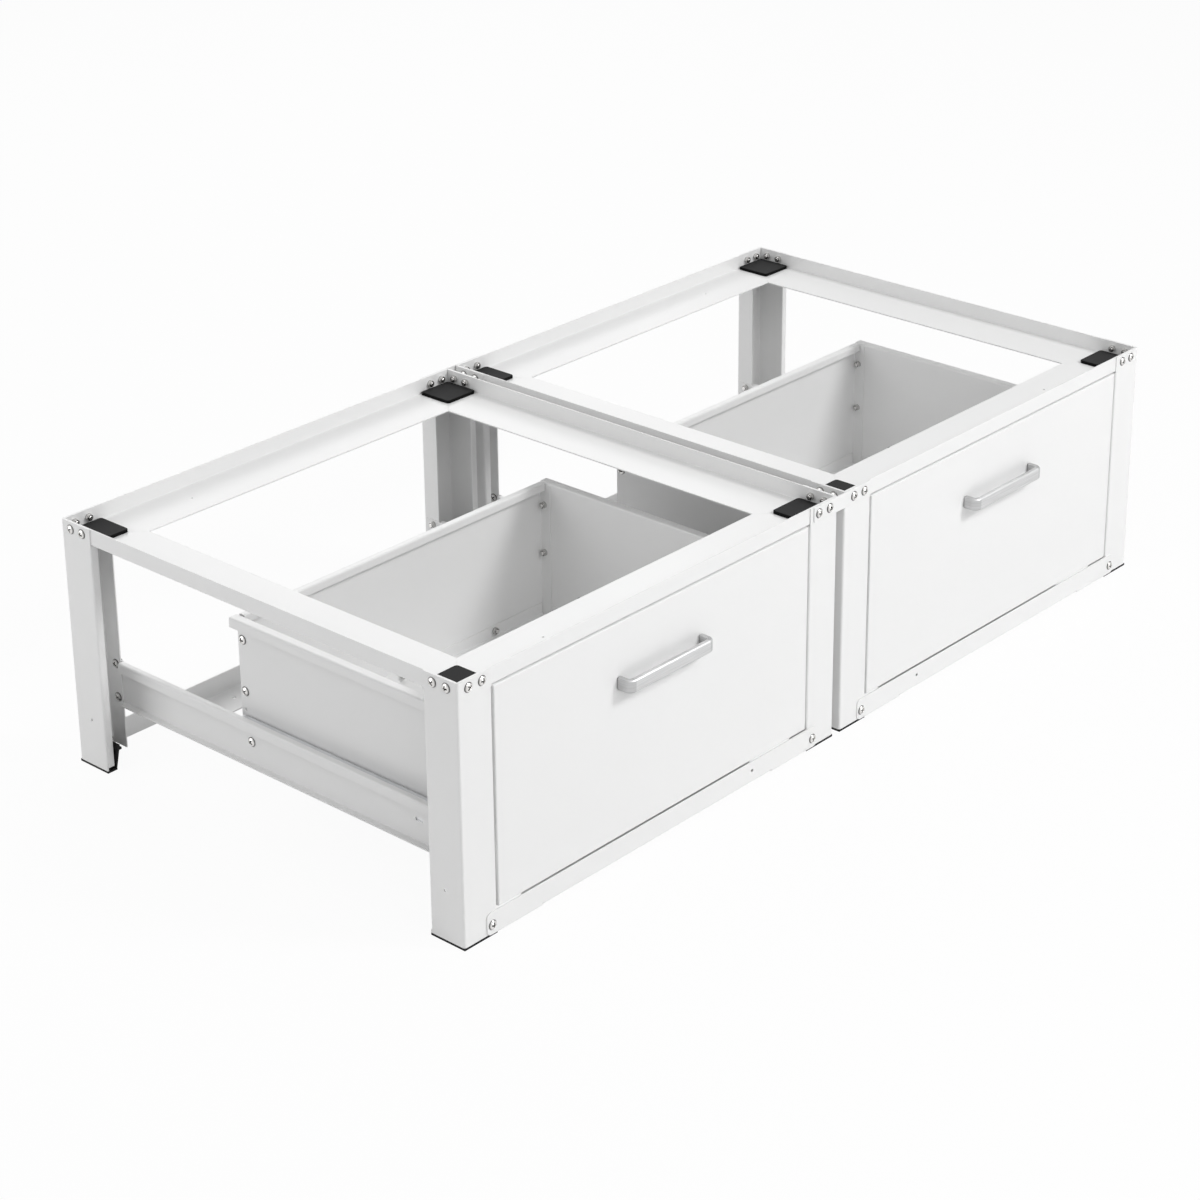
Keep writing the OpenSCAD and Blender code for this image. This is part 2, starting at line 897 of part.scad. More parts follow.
// Places of the balls of a cage, in two rows
module at_balls(ball_x, row_h) {
    for (i = [0 : cage_balls - 1], way = [-1, 1])
        translate([
            slide_x + ball_x,
            cage_inset + cage_pitch / 2 + i * cage_pitch,
            side_rail_z + way * row_h / 2,
        ])
            children();
}

// Cage that rolls between the outer and the middle member
module slide_outer_ball_cage() {
    ball_x = slide_rim_x - slide_t - fit_gap - outer_ball_d / 2;
    ball_cage(
        slide_t + (slide_web_gap - cage_t) / 2,
        ball_x + outer_ball_d / 2,
        ball_x,
        slide_middle_h + slide_outer_race,
        outer_ball_d);
}

// Cage that rolls between the middle and the inner member
module slide_inner_ball_cage() {
    ball_x = slide_middle_rim_x - slide_middle_t - fit_gap - inner_ball_d / 2;
    ball_cage(
        slide_middle_x + slide_middle_t + (slide_web_gap - cage_t) / 2,
        ball_x + inner_ball_d / 2,
        ball_x,
        slide_inner_h + slide_inner_race,
        inner_ball_d);
}

module both_sides() {
    for (side = [OUTER, INNER])
        on_side(side)
            children();
}

// Screws that hold the slide's inner member, driven from inside the drawer
module at_wall_screws() {
    for (along = [slide_screw_first, slide_l - wall_screw_end])
        from_inside(wall_inside_x, slide_inset + along, side_rail_z)
            children();
}

// Screws that join the side wall and the rear wall, driven from outside
module at_corner_screws() {
    for (z = corner_screw_zs)
        from_side(wall_x, drawer_d - corner_screw_inset, z)
            children();
}

// Screws that hold the floor's rear edge, driven from behind the rear wall
module at_floor_screws() {
    for (place = floor_screw_places)
        from_rear(unit_w / 2 + place, drawer_d, floor_screw_z)
            children();
}

// Studs that stand on the back of the panel and pass through the side wall's front flange
module at_studs() {
    for (z = stud_zs)
        from_front(wall_x + wall_front_flange - nut_flats, panel_t, z)
            children();
}

// Handle screws, driven from behind the panel
module at_handle_screws() {
    for (way = [-1, 1])
        from_rear(unit_w / 2 + way * (handle_l - handle_t) / 2, panel_t, handle_z)
            children();
}

// Side wall of the drawer on the outer side
module drawer_side_wall() {
    flange_start = panel_fold + fit_gap;
    color(white)
        difference() {
            union() {
                along_y(flange_start, drawer_d)
                    folded([
                        [wall_inside_x, drawer_lift],
                        [wall_inside_x, wall_top],
                        [wall_x - wall_flange, wall_top],
                        [wall_x - wall_flange, wall_top - wall_lip],
                    ], drawer_t, bend_r);
                along_z(drawer_lift, wall_top - drawer_t - bend_r)
                    folded([
                        [wall_x, flange_start + overrun],
                        [wall_x, panel_t],
                        [wall_x + wall_front_flange, panel_t],
                    ], drawer_t, bend_r);
            }
            at_corner_screws()
                hole(screw_d, drawer_t);
            from_side(wall_x, drawer_d - corner_screw_inset, corner_screw_zs[1] - corner_hole_pitch)
                hole(corner_hole_d, drawer_t);
            at_wall_screws()
                hole(screw_d, drawer_t);
            at_studs()
                hole(stud_d, drawer_t);
        }
}

// Rear wall of the drawer: a folded top edge, and tabs that lie inside the side walls
module drawer_rear_wall() {
    tab_x = wall_inside_x + sheet_gap;
    fold_x = tab_x + drawer_t + bend_r;
    color(white)
        difference() {
            union() {
                along_z(drawer_lift, wall_top - drawer_t - bend_r)
                    folded([
                        [unit_w - tab_x, drawer_d - rear_tab],
                        [unit_w - tab_x, drawer_d],
                        [tab_x, drawer_d],
                        [tab_x, drawer_d - rear_tab],
                    ], drawer_t, bend_r);
                along_x(fold_x, unit_w - fold_x)
                    folded([
                        [drawer_d, drawer_lift + floor_fold],
                        [drawer_d, wall_top],
                        [drawer_d - rear_flange, wall_top],
                        [drawer_d - rear_flange, wall_top - rear_lip],
                    ], drawer_t, bend_r);
            }
            both_sides()
                at_corner_screws()
                    hole(screw_d, 2 * drawer_t);
            at_floor_screws()
                hole(screw_d, drawer_t);
        }
}

// Floor of the drawer: turned up along the side walls and along the rear wall
module drawer_floor() {
    edge_x = wall_inside_x + sheet_gap;
    front_y = panel_t + drawer_t + bend_r + sheet_gap;
    side_end_y = drawer_d - rear_tab - fit_gap;
    rear_y = rear_inside_y - sheet_gap;
    rear_x = edge_x + drawer_t + bend_r + fit_gap;
    color(white)
        difference() {
            union() {
                along_y(front_y, side_end_y)
                    folded([
                        [edge_x, floor_z + floor_fold],
                        [edge_x, floor_z],
                        [unit_w - edge_x, floor_z],
                        [unit_w - edge_x, floor_z + floor_fold],
                    ], floor_t, bend_r);
                along_x(rear_x, unit_w - rear_x)
                    folded([
                        [side_end_y - overrun, floor_z],
                        [rear_y, floor_z],
                        [rear_y, floor_z + floor_fold],
                    ], floor_t, bend_r);
            }
            at_floor_screws()
                hole(screw_d, drawer_t + sheet_gap + floor_t);
        }
}

// Block with round edges round its front face, which lies on the plane y = 0
module soft_front(w, d, h, r) {
    intersection() {
        along_x(0, w)
            intersection() {
                polygon(rounded_rectangle(2 * d, h, r));
                square([d, h]);
            }
        linear_extrude(height = h)
            intersection() {
                polygon(rounded_rectangle(w, 2 * d, r));
                square([w, d]);
            }
    }
}

// Front panel of the drawer: a sheet whose four edges are folded back, with studs behind it
module drawer_front() {
    stud_l = drawer_t + nut_h + screw_tail;
    color(white)
        difference() {
            union() {
                difference() {
                    translate([panel_x, 0, panel_z])
                        soft_front(panel_w, panel_fold, panel_h, panel_edge_r);
                    translate([panel_x + panel_t, panel_t, panel_z + panel_t])
                        cube([panel_w - 2 * panel_t, panel_fold, panel_h - 2 * panel_t]);
                }
                both_sides()
                    at_studs()
                        translate([0, 0, -panel_t / 2])
                            cylinder(d = stud_d, h = stud_l + panel_t / 2);
            }
            at_handle_screws()
                hole(handle_screw_d, panel_t);
        }
}

// Section of the handle's bar: u runs outward across the bar and v runs up
module handle_section(u) {
    translate([u, 0])
        polygon([
            [0, 0],
            [handle_t - handle_bevel, 0],
            [handle_t, handle_bevel],
            [handle_t, handle_h - handle_bevel],
            [handle_t - handle_bevel, handle_h],
            [0, handle_h],
        ]);
}

// Handle of the drawer: a bevelled bar with two quarter-round corners and two legs
module drawer_handle() {
    corner_in = handle_corner_r - handle_t;
    span = handle_l - 2 * handle_corner_r;
    leg = handle_reach - handle_corner_r;
    color(silver)
        difference() {
            translate([0, 0, handle_z - handle_h / 2]) {
                both_sides()
                    translate([(unit_w - span) / 2, -leg, 0])
                        mirror([1, 0, 0]) {
                            rotate([0, 0, -90])
                                rotate_extrude(angle = 90, $fn = 64)
                                    handle_section(corner_in);
                            translate([0, leg, 0])
                                rotate([90, 0, 0])
                                    linear_extrude(height = leg)
                                        handle_section(corner_in);
                        }
                translate([(unit_w + span) / 2, -leg, 0])
                    rotate([90, 0, -90])
                        linear_extrude(height = span)
                            handle_section(corner_in);
            }
            at_handle_screws()
                cylinder(d = handle_screw_d + 2 * thread_play, h = panel_t + handle_screw_depth);
        }
}

module drawer_screws() {
    color(zinc) {
        both_sides() {
            at_corner_screws()
                screw(screw_d, 2 * drawer_t + sheet_gap + nut_h + screw_tail);
            at_wall_screws()
                screw(screw_d, drawer_t + slide_t);
        }
        at_floor_screws()
            screw(screw_d, drawer_t + sheet_gap + floor_t + nut_h + screw_tail);
        at_handle_screws()
            screw(handle_screw_d, panel_t + handle_screw_depth - fit_gap);
    }
}

module drawer_nuts() {
    color(zinc) {
        both_sides() {
            at_corner_screws()
                translate([0, 0, 2 * drawer_t + sheet_gap])
                    nut(screw_d);
            at_studs()
                translate([0, 0, drawer_t])
                    nut(stud_d);
        }
        at_floor_screws()
            translate([0, 0, drawer_t + sheet_gap + floor_t])
                nut(screw_d);
    }
}

in_unit(LEFT) leg();  // left_front_outer_leg
in_unit(LEFT) on_side(INNER) leg();  // left_front_inner_leg
in_unit(LEFT) on_end(REAR) leg();  // left_rear_outer_leg
in_unit(LEFT) on_side(INNER) on_end(REAR) leg();  // left_rear_inner_leg
in_unit(RIGHT) leg();  // right_front_outer_leg
in_unit(RIGHT) on_side(INNER) leg();  // right_front_inner_leg
in_unit(RIGHT) on_end(REAR) leg();  // right_rear_outer_leg
in_unit(RIGHT) on_side(INNER) on_end(REAR) leg();  // right_rear_inner_leg

in_unit(LEFT) cross_top_rail();  // left_front_top_rail
in_unit(LEFT) on_end(REAR) cross_top_rail();  // left_rear_top_rail
in_unit(LEFT) side_top_rail();  // left_outer_top_rail
in_unit(LEFT) on_side(INNER) side_top_rail();  // left_inner_top_rail
in_unit(RIGHT) cross_top_rail();  // right_front_top_rail
in_unit(RIGHT) on_end(REAR) cross_top_rail();  // right_rear_top_rail
in_unit(RIGHT) side_top_rail();  // right_outer_top_rail
in_unit(RIGHT) on_side(INNER) side_top_rail();  // right_inner_top_rail

in_unit(LEFT) side_rail();  // left_outer_side_rail
in_unit(LEFT) on_side(INNER) side_rail();  // left_inner_side_rail
in_unit(RIGHT) side_rail();  // right_outer_side_rail
in_unit(RIGHT) on_side(INNER) side_rail();  // right_inner_side_rail

in_unit(LEFT) bottom_rail();  // left_front_bottom_rail
in_unit(LEFT) on_end(REAR) bottom_rail();  // left_rear_bottom_rail
in_unit(RIGHT) bottom_rail();  // right_front_bottom_rail
in_unit(RIGHT) on_end(REAR) bottom_rail();  // right_rear_bottom_rail

in_unit(LEFT) feet();  // left_feet
in_unit(RIGHT) feet();  // right_feet
in_unit(LEFT) top_pads();  // left_top_pads
in_unit(RIGHT) top_pads();  // right_top_pads
in_unit(LEFT) frame_screws();  // left_frame_screws
in_unit(RIGHT) frame_screws();  // right_frame_screws
in_unit(LEFT) frame_nuts();  // left_frame_nuts
in_unit(RIGHT) frame_nuts();  // right_frame_nuts
joining_plate(FRONT);  // front_joining_plate
joining_plate(REAR);  // rear_joining_plate

in_unit(LEFT) both_sides() slide_outer_member();  // left_slide_outer_members
in_unit(RIGHT) both_sides() slide_outer_member();  // right_slide_outer_members
in_unit(LEFT) both_sides() slide_outer_ball_cage();  // left_slide_outer_ball_cages
in_unit(RIGHT) both_sides() slide_outer_ball_cage();  // right_slide_outer_ball_cages
in_unit(LEFT) both_sides() slide_middle_member();  // left_slide_middle_members
in_unit(RIGHT) both_sides() slide_middle_member();  // right_slide_middle_members
in_unit(LEFT) both_sides() slide_inner_ball_cage();  // left_slide_inner_ball_cages
in_unit(RIGHT) both_sides() slide_inner_ball_cage();  // right_slide_inner_ball_cages
in_unit(LEFT) both_sides() slide_inner_member();  // left_slide_inner_members
in_unit(RIGHT) both_sides() slide_inner_member();  // right_slide_inner_members

in_unit(LEFT) drawer_front();  // left_drawer_front
in_unit(RIGHT) drawer_front();  // right_drawer_front
in_unit(LEFT) drawer_handle();  // left_drawer_handle
in_unit(RIGHT) drawer_handle();  // right_drawer_handle
in_unit(LEFT) drawer_side_wall();  // left_drawer_outer_wall
in_unit(LEFT) on_side(INNER) drawer_side_wall();  // left_drawer_inner_wall
in_unit(RIGHT) drawer_side_wall();  // right_drawer_outer_wall
in_unit(RIGHT) on_side(INNER) drawer_side_wall();  // right_drawer_inner_wall
in_unit(LEFT) drawer_rear_wall();  // left_drawer_rear_wall
in_unit(RIGHT) drawer_rear_wall();  // right_drawer_rear_wall
in_unit(LEFT) drawer_floor();  // left_drawer_floor
in_unit(RIGHT) drawer_floor();  // right_drawer_floor
in_unit(LEFT) drawer_screws();  // left_drawer_screws
in_unit(RIGHT) drawer_screws();  // right_drawer_screws
in_unit(LEFT) drawer_nuts();  // left_drawer_nuts
in_unit(RIGHT) drawer_nuts();  // right_drawer_nuts
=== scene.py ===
"""Looks of a double washer pedestal: two joined steel frames, each with a drawer on ball slides."""

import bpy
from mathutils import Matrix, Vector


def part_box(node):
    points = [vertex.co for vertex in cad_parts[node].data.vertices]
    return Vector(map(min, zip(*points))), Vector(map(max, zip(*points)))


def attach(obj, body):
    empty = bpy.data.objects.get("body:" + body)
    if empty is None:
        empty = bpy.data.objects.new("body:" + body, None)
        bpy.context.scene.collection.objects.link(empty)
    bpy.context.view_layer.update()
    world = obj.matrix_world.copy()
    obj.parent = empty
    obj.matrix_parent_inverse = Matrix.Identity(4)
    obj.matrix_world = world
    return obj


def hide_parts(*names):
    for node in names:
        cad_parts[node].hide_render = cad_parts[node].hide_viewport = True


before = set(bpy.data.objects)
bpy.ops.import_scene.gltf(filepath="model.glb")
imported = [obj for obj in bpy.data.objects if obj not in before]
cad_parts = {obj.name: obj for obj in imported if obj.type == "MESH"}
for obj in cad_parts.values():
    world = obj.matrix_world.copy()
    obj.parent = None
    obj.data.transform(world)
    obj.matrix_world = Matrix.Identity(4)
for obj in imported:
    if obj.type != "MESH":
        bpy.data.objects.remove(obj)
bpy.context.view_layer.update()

import logging
import math
from collections.abc import Callable, Iterable
from dataclasses import dataclass
from enum import Enum

import bmesh
import bpy
from mathutils import Matrix, Vector

LOG = logging.getLogger("washer_pedestal")
Colour = tuple[float, float, float]
Edges = list[bmesh.types.BMEdge]
Drawn = list[bmesh.types.BMVert | bmesh.types.BMEdge | bmesh.types.BMFace]
WHITE: Colour = (1.0, 1.0, 1.0)
# Distances in metres under which two points are one, or lie level with each other
WELD = 1e-6
NEAR = 2e-5
GOLDEN_TURN = math.radians(137.508)
# Value of each vertex that says how much painted shade darkens it
PAINTED_SHADE_ATTRIBUTE = "paint_shade"
# Layout of a node tree, the colour sockets of a Mix node, and the rays of a soft edge
NODES_IN_ROW = 6
NODE_STEP = (220, -260)
COLOUR_A, COLOUR_B, COLOUR_OUT = 6, 7, 2
BEVEL_SAMPLES = 4


class Side(Enum):
    """The two units, named as seen from the front."""

    LEFT = "left"
    RIGHT = "right"


class Slot(Enum):
    """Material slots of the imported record."""

    WHITE_COAT = "white_coat"
    BLACK_PLASTIC = "black_plastic"
    BLACK_RUBBER = "black_rubber"
    SATIN_ALUMINIUM = "satin_aluminium"
    NICKEL_STEEL = "nickel_steel"
    ZINC_STEEL = "zinc_steel"


class NodeBench:
    """Adds nodes and links to one node tree."""

    def __init__(self, tree: bpy.types.NodeTree) -> None:
        """Keeps the tree that the nodes go into."""
        self.tree = tree
        self.count = 0

    def add(self, kind: str, **settings: object) -> bpy.types.Node:
        """Adds one node.

        Args:
            kind: The node's type name.
            settings: Properties of the node, or values of its inputs by name.

        Returns:
            The new node.
        """
        node = self.tree.nodes.new(kind)
        row, column = divmod(self.count, NODES_IN_ROW)
        node.location = (NODE_STEP[0] * column, NODE_STEP[1] * row)
        self.count += 1
        for name, value in settings.items():
            if hasattr(node, name):
                setattr(node, name, value)
            else:
                node.inputs[name.replace("_", " ")].default_value = value
        return node

    def link(self, source: bpy.types.NodeSocket, target: bpy.types.NodeSocket) -> None:
        """Links an output to an input."""
        self.tree.links.new(source, target)

    def spread(self, source: bpy.types.NodeSocket, low: float, high: float,
               start: float = 0.3, end: float = 0.7) -> bpy.types.NodeSocket:
        """Maps a noise value to a range of real values.

        Args:
            source: The value to map.
            low: Result at the start of the input range.
            high: Result at its end.
            start: Start of the input range.
            end: End of the input range.

        Returns:
            The mapped value's socket.
        """
        node = self.add("ShaderNodeMapRange")
        self.link(source, node.inputs["Value"])
        for name, value in (("From Min", start), ("From Max", end), ("To Min", low), ("To Max", high)):
            node.inputs[name].default_value = value
        return node.outputs["Result"]

    def blend(self, share: bpy.types.NodeSocket, first: Colour, second: Colour) -> bpy.types.NodeSocket:
        """Blends two colours by a share that changes over the surface.

        Args:
            share: The share of the second colour.
            first: Colour at share 0.
            second: Colour at share 1.

        Returns:
            The blended colour's socket.
        """
        node = self.add("ShaderNodeMix", data_type="RGBA")
        self.link(share, node.inputs["Factor"])
        node.inputs[COLOUR_A].default_value = (*first, 1.0)
        node.inputs[COLOUR_B].default_value = (*second, 1.0)
        return node.outputs[COLOUR_OUT]


def emptied(owner: bpy.types.Material | bpy.types.World) -> NodeBench:
    """Opens the node tree of a material or a world, with no node in it.

    Args:
        owner: The material or the world.

    Returns:
        A bench for its tree.
    """
    owner.use_nodes = True
    owner.node_tree.nodes.clear()
    return NodeBench(owner.node_tree)


class GroupStore:
    """Shader node groups that several finishes share, each built once."""

    def __init__(self) -> None:
        """Starts with no group built."""
        self.built: dict[str, bpy.types.NodeTree] = {}

    def _start(self, name: str, inputs: dict[str, float]) -> tuple[bpy.types.NodeTree, NodeBench]:
        """Opens a group with a Vector input, some number inputs, and two value outputs.

        Args:
            name: The group's name.
            inputs: Its number inputs, with what each holds at first.

        Returns:
            The group's tree and a bench for it.
        """
        tree = bpy.data.node_groups.new(name, "ShaderNodeTree")
        tree.interface.new_socket("Vector", in_out="INPUT", socket_type="NodeSocketVector")
        for label, value in inputs.items():
            socket = tree.interface.new_socket(label, in_out="INPUT", socket_type="NodeSocketFloat")
            socket.default_value = value
        for label in ("Height", "Cloud"):
            tree.interface.new_socket(label, in_out="OUTPUT", socket_type="NodeSocketFloat")
        self.built[name] = tree
        return tree, NodeBench(tree)

    def grain(self) -> bpy.types.NodeTree:
        """Fine grain of a moulded or coated surface, and the slow change over it.

        Returns:
            The group's tree.
        """
        if "surface_grain" in self.built:
            return self.built["surface_grain"]
        tree, bench = self._start("surface_grain", {"Grain Scale": 600.0, "Cloud Scale": 5.0})
        start = bench.add("NodeGroupInput")
        end = bench.add("NodeGroupOutput")
        for label, scale, detail in (("Height", "Grain Scale", 2.0), ("Cloud", "Cloud Scale", 3.0)):
            noise = bench.add("ShaderNodeTexNoise", Detail=detail, Roughness=0.5)
            bench.link(start.outputs["Vector"], noise.inputs["Vector"])
            bench.link(start.outputs[scale], noise.inputs["Scale"])
            bench.link(noise.outputs["Fac"], end.inputs[label])
        return tree

    def drawn_lines(self) -> bpy.types.NodeTree:
        """Level fine lines that drawing or rolling leaves round a metal, and the slow change over it.

        Returns:
            The group's tree.
        """
        if "drawn_lines" in self.built:
            return self.built["drawn_lines"]
        tree, bench = self._start("drawn_lines", {"Along": 20.0, "Across": 1400.0, "Cloud Scale": 12.0})
        start = bench.add("NodeGroupInput")
        end = bench.add("NodeGroupOutput")
        stretch = bench.add("ShaderNodeCombineXYZ")
        bench.link(start.outputs["Along"], stretch.inputs["X"])
        bench.link(start.outputs["Along"], stretch.inputs["Y"])
        bench.link(start.outputs["Across"], stretch.inputs["Z"])
        scaled = bench.add("ShaderNodeVectorMath", operation="MULTIPLY")
        bench.link(start.outputs["Vector"], scaled.inputs[0])
        bench.link(stretch.outputs["Vector"], scaled.inputs[1])
        lines = bench.add("ShaderNodeTexNoise", Scale=1.0, Detail=3.0, Roughness=0.6)
        bench.link(scaled.outputs["Vector"], lines.inputs["Vector"])
        cloud = bench.add("ShaderNodeTexNoise", Detail=2.0, Roughness=0.5)
        bench.link(start.outputs["Vector"], cloud.inputs["Vector"])
        bench.link(start.outputs["Cloud Scale"], cloud.inputs["Scale"])
        bench.link(lines.outputs["Fac"], end.inputs["Height"])
        bench.link(cloud.outputs["Fac"], end.inputs["Cloud"])
        return tree


GROUPS = GroupStore()


@dataclass(frozen=True)
class Finish:
    """A surface finish: two close colours, a range of roughness and a grain or drawn lines."""

    name: str
    slot: Slot
    colour: Colour
    second_colour: Colour
    roughness: tuple[float, float]
    metallic: float = 0.0
    grain_scale: float = 600.0
    grain_depth: float = 0.00003
    cloud_scale: float = 5.0
    lines_along: float = 0.0
    edge_radius: float = 0.0005
    specular: float = 0.5
    # Colour that painted shade darkens the finish towards, where the vertices ask for it
    painted_shade_colour: Colour | None = None
    turn: tuple[float, float, float] = (0.0, 0.0, 0.0)

    def material(self) -> bpy.types.Material:
        """Builds the finish once.

        Returns:
            The material.
        """
        found = bpy.data.materials.get(self.name)
        if found:
            return found
        made = bpy.data.materials.new(self.name)
        bench = emptied(made)
        place = bench.add("ShaderNodeTexCoord")
        mapping = bench.add("ShaderNodeMapping")
        mapping.inputs["Rotation"].default_value = self.turn
        bench.link(place.outputs["Object"], mapping.inputs["Vector"])
        pattern = bench.add("ShaderNodeGroup")
        if self.lines_along:
            pattern.node_tree = GROUPS.drawn_lines()
            pattern.inputs["Along"].default_value = self.lines_along
            pattern.inputs["Across"].default_value = self.grain_scale
        else:
            pattern.node_tree = GROUPS.grain()
            pattern.inputs["Grain Scale"].default_value = self.grain_scale
        pattern.inputs["Cloud Scale"].default_value = self.cloud_scale
        bench.link(mapping.outputs["Vector"], pattern.inputs["Vector"])
        soft_edge = bench.add("ShaderNodeBevel", samples=BEVEL_SAMPLES)
        soft_edge.inputs["Radius"].default_value = self.edge_radius
        bump = bench.add("ShaderNodeBump", Strength=1.0, Distance=self.grain_depth)
        bench.link(pattern.outputs["Height"], bump.inputs["Height"])
        bench.link(soft_edge.outputs["Normal"], bump.inputs["Normal"])
        surface = bench.add("ShaderNodeBsdfPrincipled", Metallic=self.metallic)
        surface.inputs["Specular IOR Level"].default_value = self.specular
        source = pattern.outputs["Height"] if self.lines_along else pattern.outputs["Cloud"]
        tint = bench.blend(bench.spread(source, 0.0, 1.0), self.colour, self.second_colour)
        # Painted shade: darkens the colour by each vertex's painted shade value
        if self.painted_shade_colour:
            paint_shade = bench.add("ShaderNodeAttribute", attribute_name=PAINTED_SHADE_ATTRIBUTE)
            dark = bench.blend(paint_shade.outputs["Fac"], self.colour, self.painted_shade_colour)
            bench.link(tint, dark.node.inputs[COLOUR_A])
            tint = dark
        bench.link(tint, surface.inputs["Base Color"])
        bench.link(bench.spread(source, *self.roughness), surface.inputs["Roughness"])
        bench.link(bump.outputs["Normal"], surface.inputs["Normal"])
        end = bench.add("ShaderNodeOutputMaterial")
        bench.link(surface.outputs["BSDF"], end.inputs["Surface"])
        return made

    def coat(self, piece: bpy.types.Object) -> bpy.types.Object:
        """Puts the finish on a piece or a CAD node.

        Args:
            piece: The piece or the node.

        Returns:
            The same piece.
        """
        if not piece.material_slots:
            piece.data.materials.append(self.material())
        for place in piece.material_slots:
            place.material = self.material()
        return piece


WHITE_COAT = Finish("white_powder_coat", Slot.WHITE_COAT, (0.87, 0.87, 0.867), (0.858, 0.859, 0.858),
                    (0.30, 0.36), grain_scale=520.0, grain_depth=0.000012, cloud_scale=4.0,
                    edge_radius=0.0003)
BLACK_PLASTIC = Finish("black_moulded_plastic", Slot.BLACK_PLASTIC, (0.004, 0.004, 0.0042),
                       (0.008, 0.008, 0.0084), (0.46, 0.62), grain_scale=1300.0, grain_depth=0.00004,
                       specular=0.14)
BLACK_RUBBER = Finish("black_pad_rubber", Slot.BLACK_RUBBER, (0.022, 0.022, 0.0225), (0.034, 0.034, 0.0345),
                      (0.70, 0.86), grain_scale=1500.0, grain_depth=0.00009, cloud_scale=30.0, specular=0.12,
                      # Painted shade colour for the pads' sides and the rims of their tops
                      painted_shade_colour=(0.001, 0.001, 0.001))
SATIN_ALUMINIUM = Finish("satin_anodised_aluminium", Slot.SATIN_ALUMINIUM, (0.78, 0.782, 0.785),
                         (0.55, 0.552, 0.555), (0.30, 0.42), metallic=1.0, grain_scale=1600.0,
                         grain_depth=0.000012, lines_along=18.0, cloud_scale=14.0, edge_radius=0.0003,
                         # Painted shade colour for the handle's necks, rounded ends and lower edge
                         painted_shade_colour=(0.06, 0.06, 0.062))
NICKEL_STEEL = Finish("bright_nickel_steel", Slot.NICKEL_STEEL, (0.80, 0.79, 0.775), (0.70, 0.69, 0.677),
                      (0.14, 0.26), metallic=1.0, grain_scale=900.0, grain_depth=0.00001,
                      # Painted shade colour for screw recesses, head rims, thread roots, nut bores and flat
                      # ends
                      cloud_scale=160.0, edge_radius=0.0001, painted_shade_colour=(0.02, 0.02, 0.021))
ZINC_STEEL = Finish("zinc_plated_steel", Slot.ZINC_STEEL, (0.76, 0.765, 0.78), (0.66, 0.67, 0.685),
                    (0.26, 0.44), metallic=1.0, grain_scale=700.0, grain_depth=0.00001,
                    lines_along=30.0, cloud_scale=45.0, turn=(0.0, 0.0, math.pi / 2))


def sort_by_place(mesh_work: bmesh.types.BMesh) -> None:
    """Sorts a mesh, because welding and rounding leave it in another order on each run.

    Args:
        mesh_work: The mesh.
    """
    for parts, key in ((mesh_work.verts, lambda vert: tuple(vert.co)),
                       (mesh_work.edges, lambda edge: sorted(vert.index for vert in edge.verts)),
                       (mesh_work.faces, lambda face: sorted(vert.index for vert in face.verts))):
        ranks = {part: rank for rank, part in enumerate(sorted(parts, key=key))}
        parts.sort(key=ranks.get)
        parts.index_update()


def piece_from(mesh_work: bmesh.types.BMesh, name: str, finish: Finish, body: str,
               *stands_for: str) -> bpy.types.Object:
    """Turns finished mesh work into a piece of the object.

    Args:
        mesh_work: The mesh, placed in the row frame. It is freed here.
        name: The piece's name.
        finish: Its finish.
        body: The CAD body that it rides on.
        stands_for: CAD nodes that it replaces.

    Returns:
        The new piece.
    """
    sort_by_place(mesh_work)
    mesh = bpy.data.meshes.new(name)
    mesh_work.to_mesh(mesh)
    mesh_work.free()
    piece = bpy.data.objects.new(name, mesh)
    bpy.context.scene.collection.objects.link(piece)
    finish.coat(piece)
    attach(piece, body)
    if stands_for:
        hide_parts(*stands_for)
    LOG.info("%s: %d faces, on %s, for %s", name, len(mesh.polygons), body, stands_for or "no node")
    return piece


def shade_painted_work() -> bmesh.types.BMesh:
    """Starts mesh work whose vertices store how much painted shade darkens them, from 0 to 1.

    Returns:
        The mesh work.
    """
    work = bmesh.new()
    work.verts.layers.float.new(PAINTED_SHADE_ATTRIBUTE)
    return work


def paint_shade(mesh_work: bmesh.types.BMesh, verts: Iterable[bmesh.types.BMVert],
         level: Callable[[Vector], float]) -> None:
    """Sets the painted shade of some vertices by their place.

    Args:
        mesh_work: The mesh.
        verts: Its vertices to set.
        level: Gives the painted shade at a place.
    """
    layer = mesh_work.verts.layers.float[PAINTED_SHADE_ATTRIBUTE]
    for vert in verts:
        vert[layer] = level(vert.co)


def smooth_by_angle(mesh_work: bmesh.types.BMesh, angle: float) -> None:
    """Shades every face smooth and keeps the edges that turn further than an angle sharp.

    Args:
        mesh_work: The mesh.
        angle: The angle, in degrees.
    """
    for face in mesh_work.faces:
        face.smooth = True
    for edge in mesh_work.edges:
        edge.smooth = len(edge.link_faces) == 2 and edge.calc_face_angle(0.0) < math.radians(angle)


def soften(mesh_work: bmesh.types.BMesh, items: Drawn, radius: float, steps: int,
           affect: str = "EDGES") -> None:
    """Rounds some edges or corners of a mesh."""
    bmesh.ops.bevel(mesh_work, geom=items, offset=radius, offset_type="OFFSET", segments=steps,
                    profile=0.5, affect=affect, material=-1)


